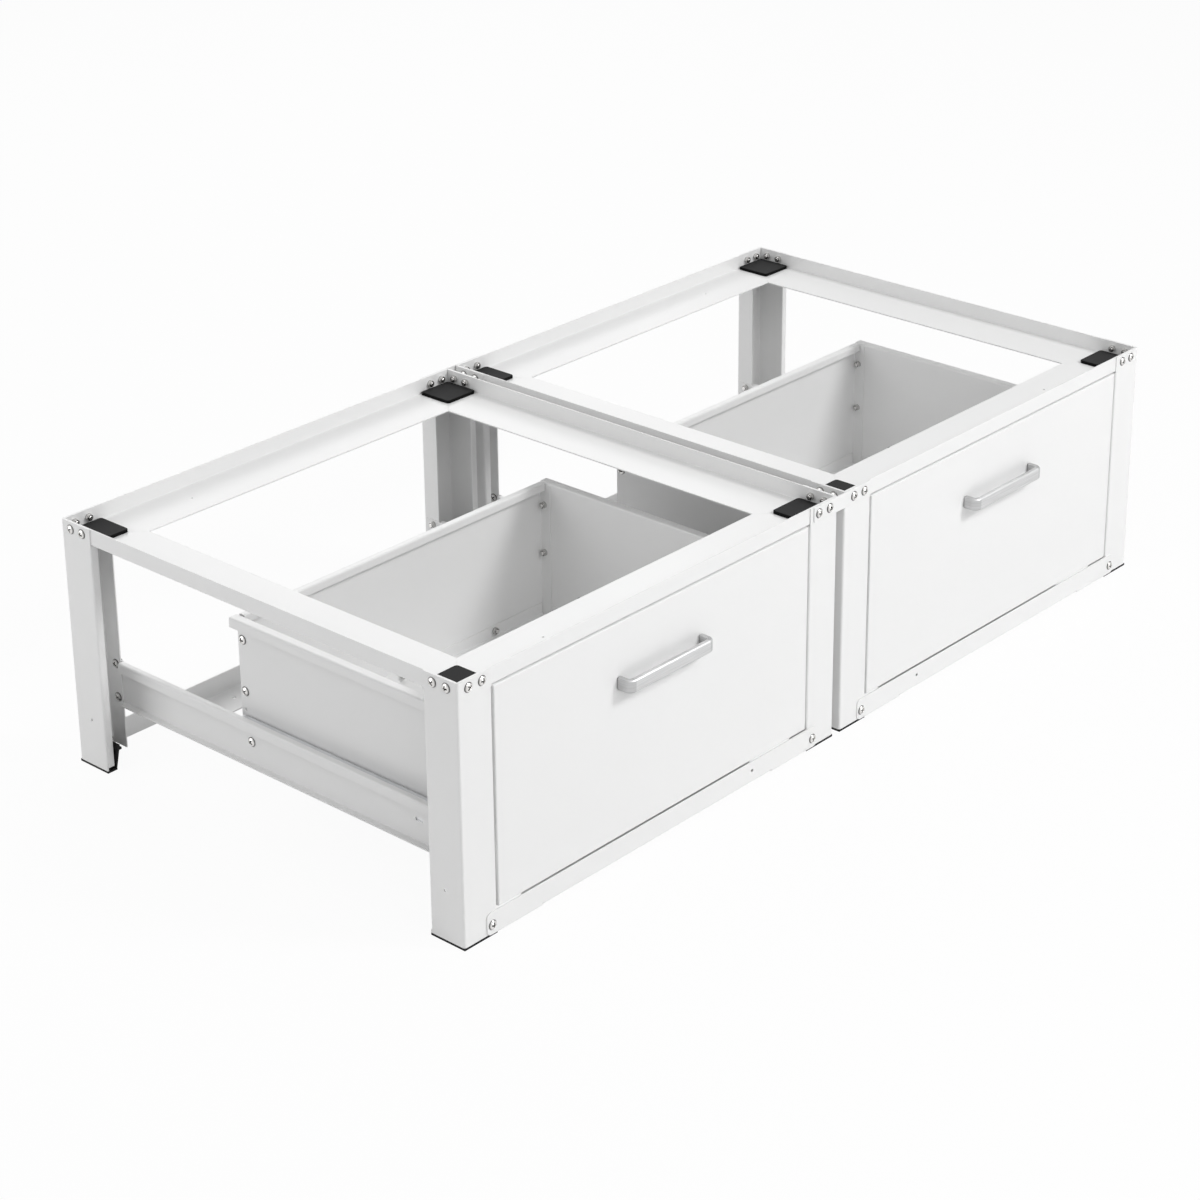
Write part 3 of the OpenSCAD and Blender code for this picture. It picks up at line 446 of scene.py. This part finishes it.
def lathe(section: list[tuple[float, float]], steps: int, closed: bool = False) -> bmesh.types.BMesh:
    """Spins a half section round the Z axis.

    Args:
        section: Its points, as radius and height.
        steps: Steps of the full turn.
        closed: Whether its last point joins its first.

    Returns:
        The mesh work.
    """
    work = shade_painted_work()
    line = [work.verts.new((r, 0.0, z)) for r, z in section]
    rim = [work.edges.new(pair) for pair in zip(line, line[1:] + line[:int(closed)])]
    bmesh.ops.spin(work, geom=line + rim, cent=(0, 0, 0), axis=(0, 0, 1), dvec=(0, 0, 0),
                   angle=2 * math.pi, steps=steps, use_merge=True, use_duplicate=False)
    bmesh.ops.remove_doubles(work, verts=work.verts[:], dist=WELD)
    return work


def from_axis(place: Vector) -> float:
    """Distance of a place from the Z axis."""
    return math.hypot(place.x, place.y)


def off_nearest(bearing: float, step: float) -> float:
    """Angle from the nearest whole step to a bearing."""
    return (bearing + step / 2) % step - step / 2


def solids_of(node: str) -> list[list[Vector]]:
    """Points of each separate solid of a CAD node, in the order of their first vertices.

    Args:
        node: The CAD node's name.

    Returns:
        One list of points for each solid.
    """
    work = bmesh.new()
    work.from_mesh(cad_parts[node].data)
    bmesh.ops.remove_doubles(work, verts=work.verts[:], dist=WELD)
    work.verts.ensure_lookup_table()
    seen = [False] * len(work.verts)
    solids = []
    for first in work.verts:
        if seen[first.index]:
            continue
        seen[first.index] = True
        reached, waiting = [], [first]
        while waiting:
            vert = waiting.pop()
            reached.append(vert.co.copy())
            for edge in vert.link_edges:
                other = edge.other_vert(vert)
                if not seen[other.index]:
                    seen[other.index] = True
                    waiting.append(other)
        solids.append(reached)
    work.free()
    return solids


def span(points: list[Vector]) -> tuple[Vector, Vector]:
    """Lowest and highest corner of some points.

    Args:
        points: The points.

    Returns:
        The two corners.
    """
    low = Vector([min(p[i] for p in points) for i in range(3)])
    high = Vector([max(p[i] for p in points) for i in range(3)])
    return low, high


@dataclass(frozen=True)
class ScrewSize:
    """Sizes of one screw, read from its CAD solid, in metres."""

    head_radius: float
    head_height: float
    shank_radius: float
    length: float


@dataclass(frozen=True)
class DomedScrew:
    """A domed screw with a cross recess and a rolled thread, sizes in metres and shares of the head."""

    rim_height: float = 0.00035
    recess_share: float = 0.57
    hub_share: float = 0.25
    arm_share: float = 0.16
    recess_depth_share: float = 0.52
    recess_taper: float = 0.6
    dome_shares: tuple[float, ...] = (0.65, 0.78, 0.86, 0.95, 1.0)
    # Painted shade: a dark ring round the edge of the head, a dark recess that is lighter at its hub, and
    # the thread's roots
    rim_painted_shade_start: float = 0.74
    rim_painted_shade: float = 1.0
    hub_painted_shade: float = 0.2
    thread_painted_shade: float = 0.75
    thread_pitch: float = 0.0008
    thread_depth: float = 0.0003
    thread_turns: int = 4
    tip: float = 0.0002
    steps: int = 24
    sharp_angle: float = 32.0

    def _dome(self, size: ScrewSize, r: float) -> float:
        """Height of the dome, from the seat towards the tail, level inside the hub.

        Args:
            size: The screw's sizes.
            r: The radius to take it at.

        Returns:
            The height.
        """
        rise = size.head_height - self.rim_height
        hub, rim = (size.head_radius * self.hub_share) ** 2, size.head_radius ** 2
        below = (rim - hub - rise ** 2) / (2 * rise)
        return below - self.rim_height - math.sqrt(rim + below ** 2 - max(r ** 2, hub))

    def _profile(self, size: ScrewSize) -> list[tuple[float, float]]:
        """Half section from the dome's pole to the tip of the shank.

        Args:
            size: The screw's sizes.

        Returns:
            Its points, as radius and height.
        """
        shares = (0.0, self.hub_share, self.recess_share, *self.dome_shares)
        points = [(size.head_radius * share, self._dome(size, size.head_radius * share)) for share in shares]
        points += [(size.head_radius, 0.0), (size.shank_radius, 0.0)]
        turns = min(self.thread_turns, int((size.length - 2 * self.tip) / self.thread_pitch))
        start = size.length - self.tip - turns * self.thread_pitch
        root = size.shank_radius - self.thread_depth
        for turn in range(turns):
            low = start + turn * self.thread_pitch
            points += [(size.shank_radius, low), (root, low + self.thread_pitch / 2)]
        points += [(size.shank_radius, size.length - self.tip), (root, size.length), (0.0, size.length)]
        return points

    def _square_arms(self, work: bmesh.types.BMesh, size: ScrewSize) -> list[bmesh.types.BMFace]:
        """Gives the cross four arms of even width on the dome.

        Args:
            work: The spun screw.
            size: Its sizes.

        Returns:
            The faces of the cross.
        """
        step, quarter = 2 * math.pi / self.steps, math.pi / 2
        half_arm = size.head_radius * self.arm_share
        edge = size.head_radius * self.recess_share
        cross = []
        for face in work.faces:
            middle = face.calc_center_median()
            turn = abs(off_nearest(math.atan2(middle.y, middle.x), quarter))
            r = from_axis(middle)
            if middle.z < 0 and r < edge and (turn < step or r < size.head_radius * self.hub_share):
                cross.append(face)
        for vert in work.verts:
            r = from_axis(vert.co)
            if vert.co.z > 0 or r > edge + WELD or r < WELD:
                continue
            bearing = math.atan2(vert.co.y, vert.co.x)
            off = off_nearest(bearing, quarter)
            if abs(off) < step / 2:
                continue
            first = math.asin(half_arm / r)
            moved = first + (abs(off) - step) / (quarter / 2 - step) * (quarter / 2 - first)
            bearing += math.copysign(moved, off) - off
            vert.co.x, vert.co.y = r * math.cos(bearing), r * math.sin(bearing)
        return cross

    def build(self, size: ScrewSize) -> bmesh.types.BMesh:
        """Makes the screw with its seat on the plane z = 0 and its shank along +Z.

        Args:
            size: Its sizes.

        Returns:
            The mesh work.
        """
        work = lathe(self._profile(size), self.steps)
        cross = self._square_arms(work, size)
        pushed = bmesh.ops.extrude_face_region(work, geom=cross)["geom"]
        bmesh.ops.delete(work, geom=cross, context="FACES")
        floor = [item for item in pushed if isinstance(item, bmesh.types.BMVert)]
        bmesh.ops.scale(work, verts=floor, vec=(self.recess_taper, self.recess_taper, 1.0))
        bmesh.ops.translate(work, verts=floor, vec=(0, 0, size.head_height * self.recess_depth_share))
        bmesh.ops.recalc_face_normals(work, faces=work.faces[:])
        # Painted shade on the head's rim, the thread's roots and the recess floor, which is lighter at its
        # hub
        paint_shade(work, work.verts, lambda place: self._painted_shade(size, place))
        paint_shade(work, floor, lambda place: self.hub_painted_shade if from_axis(place) < WELD else 1.0)
        smooth_by_angle(work, self.sharp_angle)
        return work

    def _painted_shade(self, size: ScrewSize, place: Vector) -> float:
        """Level of the painted shade: a dark ring round the head, and the thread's roots.

        Args:
            size: The screw's sizes.
            place: The place on it.

        Returns:
            The level there.
        """
        r = from_axis(place)
        if place.z > WELD:
            return self.thread_painted_shade if r < size.shank_radius - WELD and place.z < size.length - WELD else 0.0
        share = r / size.head_radius
        return self.rim_painted_shade * max(0.0, (share - self.rim_painted_shade_start) / (1.0 - self.rim_painted_shade_start))


@dataclass(frozen=True)
class HexNut:
    """A hexagon nut with chamfered corners and a countersunk bore, sizes in metres."""

    chamfer_share: float = 0.95
    chamfer_slope: float = 0.55
    countersink: float = 0.0004
    # Painted shade in the bore and at both ends of the flats
    bore_painted_shade: float = 0.95
    corner_painted_shade: float = 0.65
    steps: int = 36
    sharp_angle: float = 25.0

    def build(self, flats: float, height: float, bore_radius: float) -> bmesh.types.BMesh:
        """Makes the nut from z = 0 to its height, with two flats square to X.

        Args:
            flats: Size across the flats.
            height: Height of the nut.
            bore_radius: Radius of its bore.

        Returns:
            The mesh work.
        """
        ring = flats / 2 * self.chamfer_share
        mouth = bore_radius + self.countersink
        section = [(bore_radius, self.countersink), (mouth, 0.0), (ring, 0.0), (flats, 0.0),
                   (flats, height / 2), (flats, height), (ring, height), (mouth, height),
                   (bore_radius, height - self.countersink)]
        work = lathe(section, self.steps, closed=True)
        for vert in work.verts:
            r = from_axis(vert.co)
            if r < ring + WELD:
                continue
            off_flat = off_nearest(math.atan2(vert.co.y, vert.co.x), math.pi / 3)
            reach = flats / 2 / math.cos(off_flat)
            drop = (reach - ring) * self.chamfer_slope
            vert.co.x *= reach / r
            vert.co.y *= reach / r
            away = vert.co.z - height / 2
            vert.co.z -= math.copysign(min(drop, abs(away)), away)
        bmesh.ops.recalc_face_normals(work, faces=work.faces[:])
        # Painted shade in the bore and at the ends of the flats
        paint_shade(work, work.verts, lambda place: self._painted_shade(place, ring, mouth, height))
        smooth_by_angle(work, self.sharp_angle)
        return work

    def _painted_shade(self, place: Vector, ring: float, mouth: float, height: float) -> float:
        """Level of the painted shade in the bore and at both ends of the flats.

        Args:
            place: The place on the nut.
            ring: Radius where the chamfer starts.
            mouth: Radius of the bore's mouth.
            height: Height of the nut.

        Returns:
            The level there.
        """
        r = from_axis(place)
        if r < mouth + WELD:
            return self.bore_painted_shade
        return self.corner_painted_shade * abs(2 * place.z / height - 1) if r > ring + WELD else 0.0


def rim_of(drawn: Drawn) -> Edges:
    """Edges of drawn geometry that lie on its new end."""
    ends = {item for item in drawn if isinstance(item, bmesh.types.BMVert)}
    return [item for item in drawn if isinstance(item, bmesh.types.BMEdge) and ends.issuperset(item.verts)]


def top_face(mesh_work: bmesh.types.BMesh) -> bmesh.types.BMFace:
    """The face whose middle is highest."""
    return max(mesh_work.faces, key=lambda face: face.calc_center_median().z)


def take_in(target: bmesh.types.BMesh, part: bmesh.types.BMesh, place: Matrix) -> None:
    """Adds a part to a larger mesh.

    Args:
        target: The mesh that grows.
        part: The part, which is freed here.
        place: Where it goes.
    """
    bmesh.ops.transform(part, matrix=place, verts=part.verts[:])
    carrier = bpy.data.meshes.new("carrier")
    part.to_mesh(carrier)
    part.free()
    target.from_mesh(carrier)
    bpy.data.meshes.remove(carrier)


@dataclass(frozen=True)
class Fasteners:
    """The screws and nuts of one CAD node, each made where its solid is."""

    body: str
    screws_node: str
    nuts_node: str
    screw: DomedScrew = DomedScrew()
    nut: HexNut = HexNut()

    def _screw_at(self, points: list[Vector], number: int) -> tuple[bmesh.types.BMesh, Matrix]:
        """Makes one screw at its solid, whose points crowd at the dome.

        Args:
            points: The solid's points.
            number: Its number, which sets how far the cross is turned.

        Returns:
            The mesh work and its place.
        """
        low, high = span(points)
        middle = (low + high) / 2
        lean = sum(points, Vector()) / len(points) - middle
        axis = max(range(3), key=lambda i: abs(lean[i]))
        across = [i for i in range(3) if i != axis]
        towards = -1.0 if lean[axis] > 0 else 1.0
        head_end = low[axis] if towards > 0 else high[axis]
        depths = [(abs(p[axis] - head_end), math.hypot(*(p[i] - middle[i] for i in across))) for p in points]
        head_radius = max(r for _, r in depths)
        head_height = max(d for d, r in depths if r > head_radius - NEAR)
        whole = high[axis] - low[axis]
        tail_radius = max(r for d, r in depths if d > whole - NEAR)
        size = ScrewSize(head_radius, head_height, tail_radius, whole - head_height)
        way = Vector([towards if i == axis else 0.0 for i in range(3)])
        seat = middle.copy()
        seat[axis] = head_end + towards * head_height
        spun = Matrix.Rotation(number * GOLDEN_TURN, 4, "Z")
        turn = way.to_track_quat("Z", "Y").to_matrix().to_4x4()
        return self.screw.build(size), Matrix.Translation(seat) @ turn @ spun

    def _nut_at(self, points: list[Vector]) -> tuple[bmesh.types.BMesh, Matrix]:
        """Makes one nut at its solid.

        Args:
            points: The solid's points.

        Returns:
            The mesh work and its place.
        """
        low, high = span(points)
        size = high - low
        order = sorted(range(3), key=lambda i: size[i])
        way, flat = Vector(), Vector()
        way[order[0]] = 1.0
        flat[order[1]] = 1.0
        start = (low + high) / 2 - way * size[order[0]] / 2
        bore = min(math.hypot(*(p[i] - start[i] for i in order[1:])) for p in points)
        turn = Matrix((flat, way.cross(flat), way)).transposed().to_4x4()
        return self.nut.build(size[order[1]], size[order[0]], bore), Matrix.Translation(start) @ turn

    def build(self) -> None:
        """Makes one piece of all the screws and one of all the nuts."""
        screws, nuts = shade_painted_work(), shade_painted_work()
        for number, points in enumerate(solids_of(self.screws_node)):
            take_in(screws, *self._screw_at(points, number))
        for points in solids_of(self.nuts_node):
            take_in(nuts, *self._nut_at(points))
        piece_from(screws, f"{self.screws_node}_cross_recessed", NICKEL_STEEL, self.body, self.screws_node)
        piece_from(nuts, f"{self.nuts_node}_chamfered", NICKEL_STEEL, self.body, self.nuts_node)


@dataclass(frozen=True)
class TopPads:
    """The four anti-slip pads of one unit, sizes in metres."""

    side: Side
    corner_radius: float = 0.004
    corner_steps: int = 5
    edge_radius: float = 0.0007
    edge_steps: int = 3
    # Width of the painted shade rim round each pad's top, and how dark it is
    shade_width: float = 0.0014
    rim_shade: float = 0.7
    sharp_angle: float = 35.0

    def _pad(self, low: Vector, high: Vector) -> bmesh.types.BMesh:
        """Makes one pad in its box, with round corners, a soft top edge and painted shade on its sides and
        the rim of its top.

        Args:
            low: Lowest corner of the box.
            high: Its highest corner.

        Returns:
            The mesh work.
        """
        work = shade_painted_work()
        bmesh.ops.create_cube(work, size=1.0)
        bmesh.ops.scale(work, verts=work.verts[:], vec=high - low)
        bmesh.ops.translate(work, verts=work.verts[:], vec=(low + high) / 2)
        upright = [e for e in work.edges if abs(e.verts[0].co.z - e.verts[1].co.z) > self.edge_radius]
        soften(work, upright, self.corner_radius, self.corner_steps)
        soften(work, list(top_face(work).edges), self.edge_radius, self.edge_steps)
        top = top_face(work)
        bmesh.ops.inset_region(work, faces=[top], thickness=self.shade_width, use_even_offset=True)
        middle = set(top.verts)
        # Painted shade: full on the sides and bottom, lighter on the rim of the top, none in its middle
        paint_shade(work, (vert for vert in work.verts if vert not in middle),
             lambda place: self.rim_shade if place.z > high.z - WELD else 1.0)
        smooth_by_angle(work, self.sharp_angle)
        return work

    def build(self) -> None:
        """Makes one piece of the unit's four pads."""
        node = f"{self.side.value}_top_pads"
        pads = shade_painted_work()
        for points in solids_of(node):
            take_in(pads, self._pad(*span(points)), Matrix.Identity(4))
        piece_from(pads, f"{node}_moulded", BLACK_RUBBER, "frame", node)


@dataclass(frozen=True)
class BarHandle:
    """The bar handle of one drawer, sizes in metres."""

    side: Side
    thickness: float = 0.0065
    corner_radius: float = 0.010
    bevel: float = 0.0015
    inner_bevel: float = 0.0008
    edge_radius: float = 0.0004
    edge_steps: int = 2
    # A short neck at each end painted in shade, and painted shade on the rounded ends and along the lower
    # edge
    neck: float = 0.0009
    end_painted_shade: float = 0.22
    edge_painted_shade: float = 0.35
    corner_steps: int = 14
    sharp_angle: float = 24.0

    def _section(self, work: bmesh.types.BMesh, left: float, height: float) -> Edges:
        """Makes the closed section of the left leg, on the plane y = 0.

        Args:
            work: The mesh that takes it.
            left: Where its left face is.
            height: Height of the bar.

        Returns:
            Its edges.
        """
        u, v, b, e = self.thickness, height / 2, self.bevel, self.inner_bevel
        points = [(0, b - v), (0, v - b), (b, v), (u - e, v), (u, v - e), (u, e - v), (u - e, -v), (b, -v)]
        corners = [work.verts.new((left + x, 0.0, z)) for x, z in points]
        face = work.faces.new(corners)
        soften(work, corners, self.edge_radius, self.edge_steps, "VERTICES")
        face = max(work.faces, key=lambda f: f.calc_area())
        rim = list(face.edges)
        bmesh.ops.delete(work, geom=[face], context="FACES_ONLY")
        return rim

    def _run(self, work: bmesh.types.BMesh, rim: Edges, way: Vector) -> Edges:
        """Draws the section straight along a way.

        Args:
            work: The handle so far.
            rim: The section's edges at its end.
            way: How far it is drawn.

        Returns:
            The edges at the new end.
        """
        drawn = bmesh.ops.extrude_edge_only(work, edges=rim)["geom"]
        bmesh.ops.translate(work, verts=[g for g in drawn if isinstance(g, bmesh.types.BMVert)], vec=way)
        return rim_of(drawn)

    def _round(self, work: bmesh.types.BMesh, rim: Edges, centre: Vector) -> Edges:
        """Turns the section through a quarter round.

        Args:
            work: The handle so far.
            rim: The section's edges at its end.
            centre: Where the axis of the turn is.

        Returns:
            The edges at the new end.
        """
        ring = sorted({vert for edge in rim for vert in edge.verts}, key=lambda v: tuple(v.co))
        turned = bmesh.ops.spin(work, geom=ring + rim, cent=centre, axis=(0, 0, 1), dvec=(0, 0, 0),
                                angle=math.pi / 2, steps=self.corner_steps, use_duplicate=False)
        return rim_of(turned["geom_last"])

    def _add_necks(self, work: bmesh.types.BMesh, ends: list[bmesh.types.BMFace]) -> None:
        """Sets the end faces back and draws a narrow neck from each to the panel, painted in shade.

        Args:
            work: The handle, whose ends stop short of the panel.
            ends: The two end faces.
        """
        bmesh.ops.inset_region(work, faces=ends, thickness=self.neck, use_even_offset=True)
        drawn = bmesh.ops.extrude_face_region(work, geom=ends)["geom"]
        bmesh.ops.delete(work, geom=ends, context="FACES")
        tips = [item for item in drawn if isinstance(item, bmesh.types.BMVert)]
        bmesh.ops.translate(work, verts=tips, vec=(0, self.neck, 0))
        for tip in tips:
            # Paints full shade round each neck
            paint_shade(work, [edge.other_vert(tip) for edge in tip.link_edges], lambda place: 1.0)

    def _painted_shade(self, place: Vector, half: float, height: float) -> float:
        """Level of the painted shade on the rounded ends and along the lower edge."""
        level = self.end_painted_shade if abs(place.x) > half - self.corner_radius + WELD else 0.0
        return level + self.edge_painted_shade if place.z < -height / 2 + self.bevel - WELD else level

    def build(self) -> None:
        """Makes the handle where its CAD node is."""
        node = f"{self.side.value}_drawer_handle"
        low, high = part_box(node)
        half = (high.x - low.x) / 2
        reach = high.y - low.y
        r = self.corner_radius
        work = shade_painted_work()
        rim = self._section(work, -half, high.z - low.z)
        first = list(rim)
        leg = reach - r - self.neck
        rim = self._run(work, rim, Vector((0, -leg, 0)))
        rim = self._round(work, rim, Vector((r - half, -leg, 0)))
        rim = self._run(work, rim, Vector((2 * (half - r), 0, 0)))
        rim = self._round(work, rim, Vector((half - r, -leg, 0)))
        rim = self._run(work, rim, Vector((0, leg, 0)))
        ends = bmesh.ops.holes_fill(work, edges=[e for e in first if e.is_valid] + rim, sides=0)["faces"]
        bmesh.ops.translate(work, verts=work.verts[:], vec=(0, -self.neck, 0))
        # Painted shade on the rounded ends and along the lower edge
        paint_shade(work, work.verts, lambda place: self._painted_shade(place, half, high.z - low.z))
        self._add_necks(work, ends)
        bmesh.ops.remove_doubles(work, verts=work.verts[:], dist=WELD)
        bmesh.ops.recalc_face_normals(work, faces=work.faces[:])
        smooth_by_angle(work, self.sharp_angle)
        centre = Vector(((low.x + high.x) / 2, high.y, (low.z + high.z) / 2))
        bmesh.ops.translate(work, verts=work.verts[:], vec=centre)
        piece_from(work, f"{node}_satin_bar", SATIN_ALUMINIUM, f"{self.side.value}_drawer", node)


@dataclass(frozen=True)
class SheetMetal:
    """The folded sheets, feet and slides, whose CAD shapes stay and get their finishes."""

    finishes: tuple[tuple[str, Finish], ...] = (
        ("_feet", BLACK_PLASTIC),
        ("_top_pads", BLACK_RUBBER),
        ("_drawer_handle", SATIN_ALUMINIUM),
        ("_screws", NICKEL_STEEL),
        ("_nuts", NICKEL_STEEL),
        ("_members", ZINC_STEEL),
        ("_ball_cages", ZINC_STEEL),
    )

    def finish_of(self, node: str) -> Finish:
        """Finish of a CAD node, white where no ending of its name says otherwise."""
        return next((finish for ending, finish in self.finishes if node.endswith(ending)), WHITE_COAT)

    def build(self) -> None:
        """Coats every CAD node."""
        for node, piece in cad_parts.items():
            finish = self.finish_of(node)
            finish.coat(piece)
            LOG.info("%s: %s", node, finish.name)


@dataclass(frozen=True)
class Lamp:
    """A soft square lamp that points at the object."""

    name: str
    place: tuple[float, float, float]
    width: float
    power: float
    colour: Colour = WHITE


@dataclass(frozen=True)
class Studio:
    """Floor, surroundings, lamps and camera, sizes in metres and angles in degrees."""

    camera_place: tuple[float, float, float] = (-2.50934, -2.19656, 1.67487)
    camera_azimuth: float = -47.9586
    camera_elevation: float = 21.6376
    camera_roll: float = -0.5443
    camera_lens: float = 88.056
    camera_shift: float = -0.16667
    camera_reach: float = 100.0
    sensor: float = 36.0
    floor_size: float = 40.0
    floor_colour: Colour = (0.9, 0.9, 0.9)
    floor_share: float = 0.94
    sky: float = 0.265
    aim: tuple[float, float, float] = (0.0, 0.0, 0.15)
    lamps: tuple[Lamp, ...] = (
        Lamp("key", (1.4, -3.2, 3.0), 1.1, 82.0),
        Lamp("fill", (-1.5, -3.5, 3.2), 2.6, 37.0),
        Lamp("front", (0.7, -4.6, 0.9), 1.6, 15.0),
        Lamp("top", (0.2, 0.6, 3.4), 3.0, 12.0),
        Lamp("side", (-2.6, 1.5, 1.3), 2.2, 25.0),
        Lamp("back", (1.8, 2.6, 2.4), 2.4, 29.0),
    )

    def _white_rays(self, bench: NodeBench) -> bpy.types.NodeSocket:
        """Gives 1 for rays from the camera, from gloss and through glass, and 0 for the others.

        Args:
            bench: Where the nodes go.

        Returns:
            The value's socket.
        """
        rays = bench.add("ShaderNodeLightPath")
        last = rays.outputs["Is Camera Ray"]
        for label in ("Is Glossy Ray", "Is Transmission Ray"):
            most = bench.add("ShaderNodeMath", operation="MAXIMUM")
            bench.link(last, most.inputs[0])
            bench.link(rays.outputs[label], most.inputs[1])
            last = most.outputs["Value"]
        return last

    def build_world(self) -> None:
        """Makes the pale surroundings."""
        world = bpy.data.worlds.new("pale_room")
        bpy.context.scene.world = world
        bench = emptied(world)
        level = bench.spread(self._white_rays(bench), self.sky, 1.0, 0.0, 1.0)
        sky = bench.add("ShaderNodeBackground")
        sky.inputs["Color"].default_value = (*WHITE, 1.0)
        bench.link(level, sky.inputs["Strength"])
        end = bench.add("ShaderNodeOutputWorld")
        bench.link(sky.outputs["Background"], end.inputs["Surface"])

    def build_floor(self) -> None:
        """Makes the pale floor, which keeps the object's shadow."""
        work = bmesh.new()
        bmesh.ops.create_grid(work, x_segments=1, y_segments=1, size=self.floor_size / 2)
        mesh = bpy.data.meshes.new("studio_floor")
        work.to_mesh(mesh)
        work.free()
        floor = bpy.data.objects.new("studio_floor", mesh)
        bpy.context.scene.collection.objects.link(floor)
        paint = bpy.data.materials.new("pale_floor")
        bench = emptied(paint)
        share = bench.spread(self._white_rays(bench), 0.0, self.floor_share, 0.0, 1.0)
        matt = bench.add("ShaderNodeBsdfDiffuse")
        matt.inputs["Color"].default_value = (*self.floor_colour, 1.0)
        glow = bench.add("ShaderNodeEmission", Strength=1.0)
        glow.inputs["Color"].default_value = (*WHITE, 1.0)
        both = bench.add("ShaderNodeMixShader")
        bench.link(share, both.inputs[0])
        bench.link(matt.outputs["BSDF"], both.inputs[1])
        bench.link(glow.outputs["Emission"], both.inputs[2])
        end = bench.add("ShaderNodeOutputMaterial")
        bench.link(both.outputs["Shader"], end.inputs["Surface"])
        floor.data.materials.append(paint)

    def build_lamps(self) -> None:
        """Makes the soft lamps."""
        for lamp in self.lamps:
            data = bpy.data.lights.new(lamp.name, "AREA")
            data.size = lamp.width
            data.energy = lamp.power
            data.color = lamp.colour
            made = bpy.data.objects.new(f"{lamp.name}_lamp", data)
            made.location = lamp.place
            back = Vector(lamp.place) - Vector(self.aim)
            made.rotation_mode = "QUATERNION"
            made.rotation_quaternion = back.to_track_quat("Z", "Y")
            bpy.context.scene.collection.objects.link(made)

    def build_camera(self) -> None:
        """Makes the camera at the photograph's place and angle."""
        data = bpy.data.cameras.new("camera")
        data.sensor_fit = "HORIZONTAL"
        data.sensor_width = self.sensor
        data.lens = self.camera_lens
        data.shift_y = self.camera_shift
        data.dof.use_dof = False
        data.clip_end = self.camera_reach
        turn, lift, roll = (math.radians(v) for v in (
            self.camera_azimuth, self.camera_elevation, self.camera_roll))
        back = Vector((math.sin(turn) * math.cos(lift), -math.cos(turn) * math.cos(lift), math.sin(lift)))
        level = Vector((math.cos(turn), math.sin(turn), 0.0))
        upright = back.cross(level)
        right = math.cos(roll) * level + math.sin(roll) * upright
        up = math.cos(roll) * upright - math.sin(roll) * level
        camera = bpy.data.objects.new("camera", data)
        bpy.context.scene.collection.objects.link(camera)
        placed = Matrix((right, up, back)).transposed().to_4x4()
        placed.translation = Vector(self.camera_place)
        camera.matrix_world = placed
        bpy.context.scene.camera = camera

    def build(self) -> None:
        """Makes the whole studio."""
        self.build_world()
        self.build_floor()
        self.build_lamps()
        self.build_camera()
        bpy.context.scene.view_settings.view_transform = "Standard"


def main() -> None:
    """Builds the studio and every piece."""
    logging.basicConfig(level=logging.INFO, format="%(name)s: %(message)s")
    Studio().build()
    SheetMetal().build()
    for side in Side:
        name = side.value
        Fasteners("frame", f"{name}_frame_screws", f"{name}_frame_nuts").build()
        Fasteners(f"{name}_drawer", f"{name}_drawer_screws", f"{name}_drawer_nuts").build()
        TopPads(side).build()
        BarHandle(side).build()


if __name__ == "__main__":
    main()
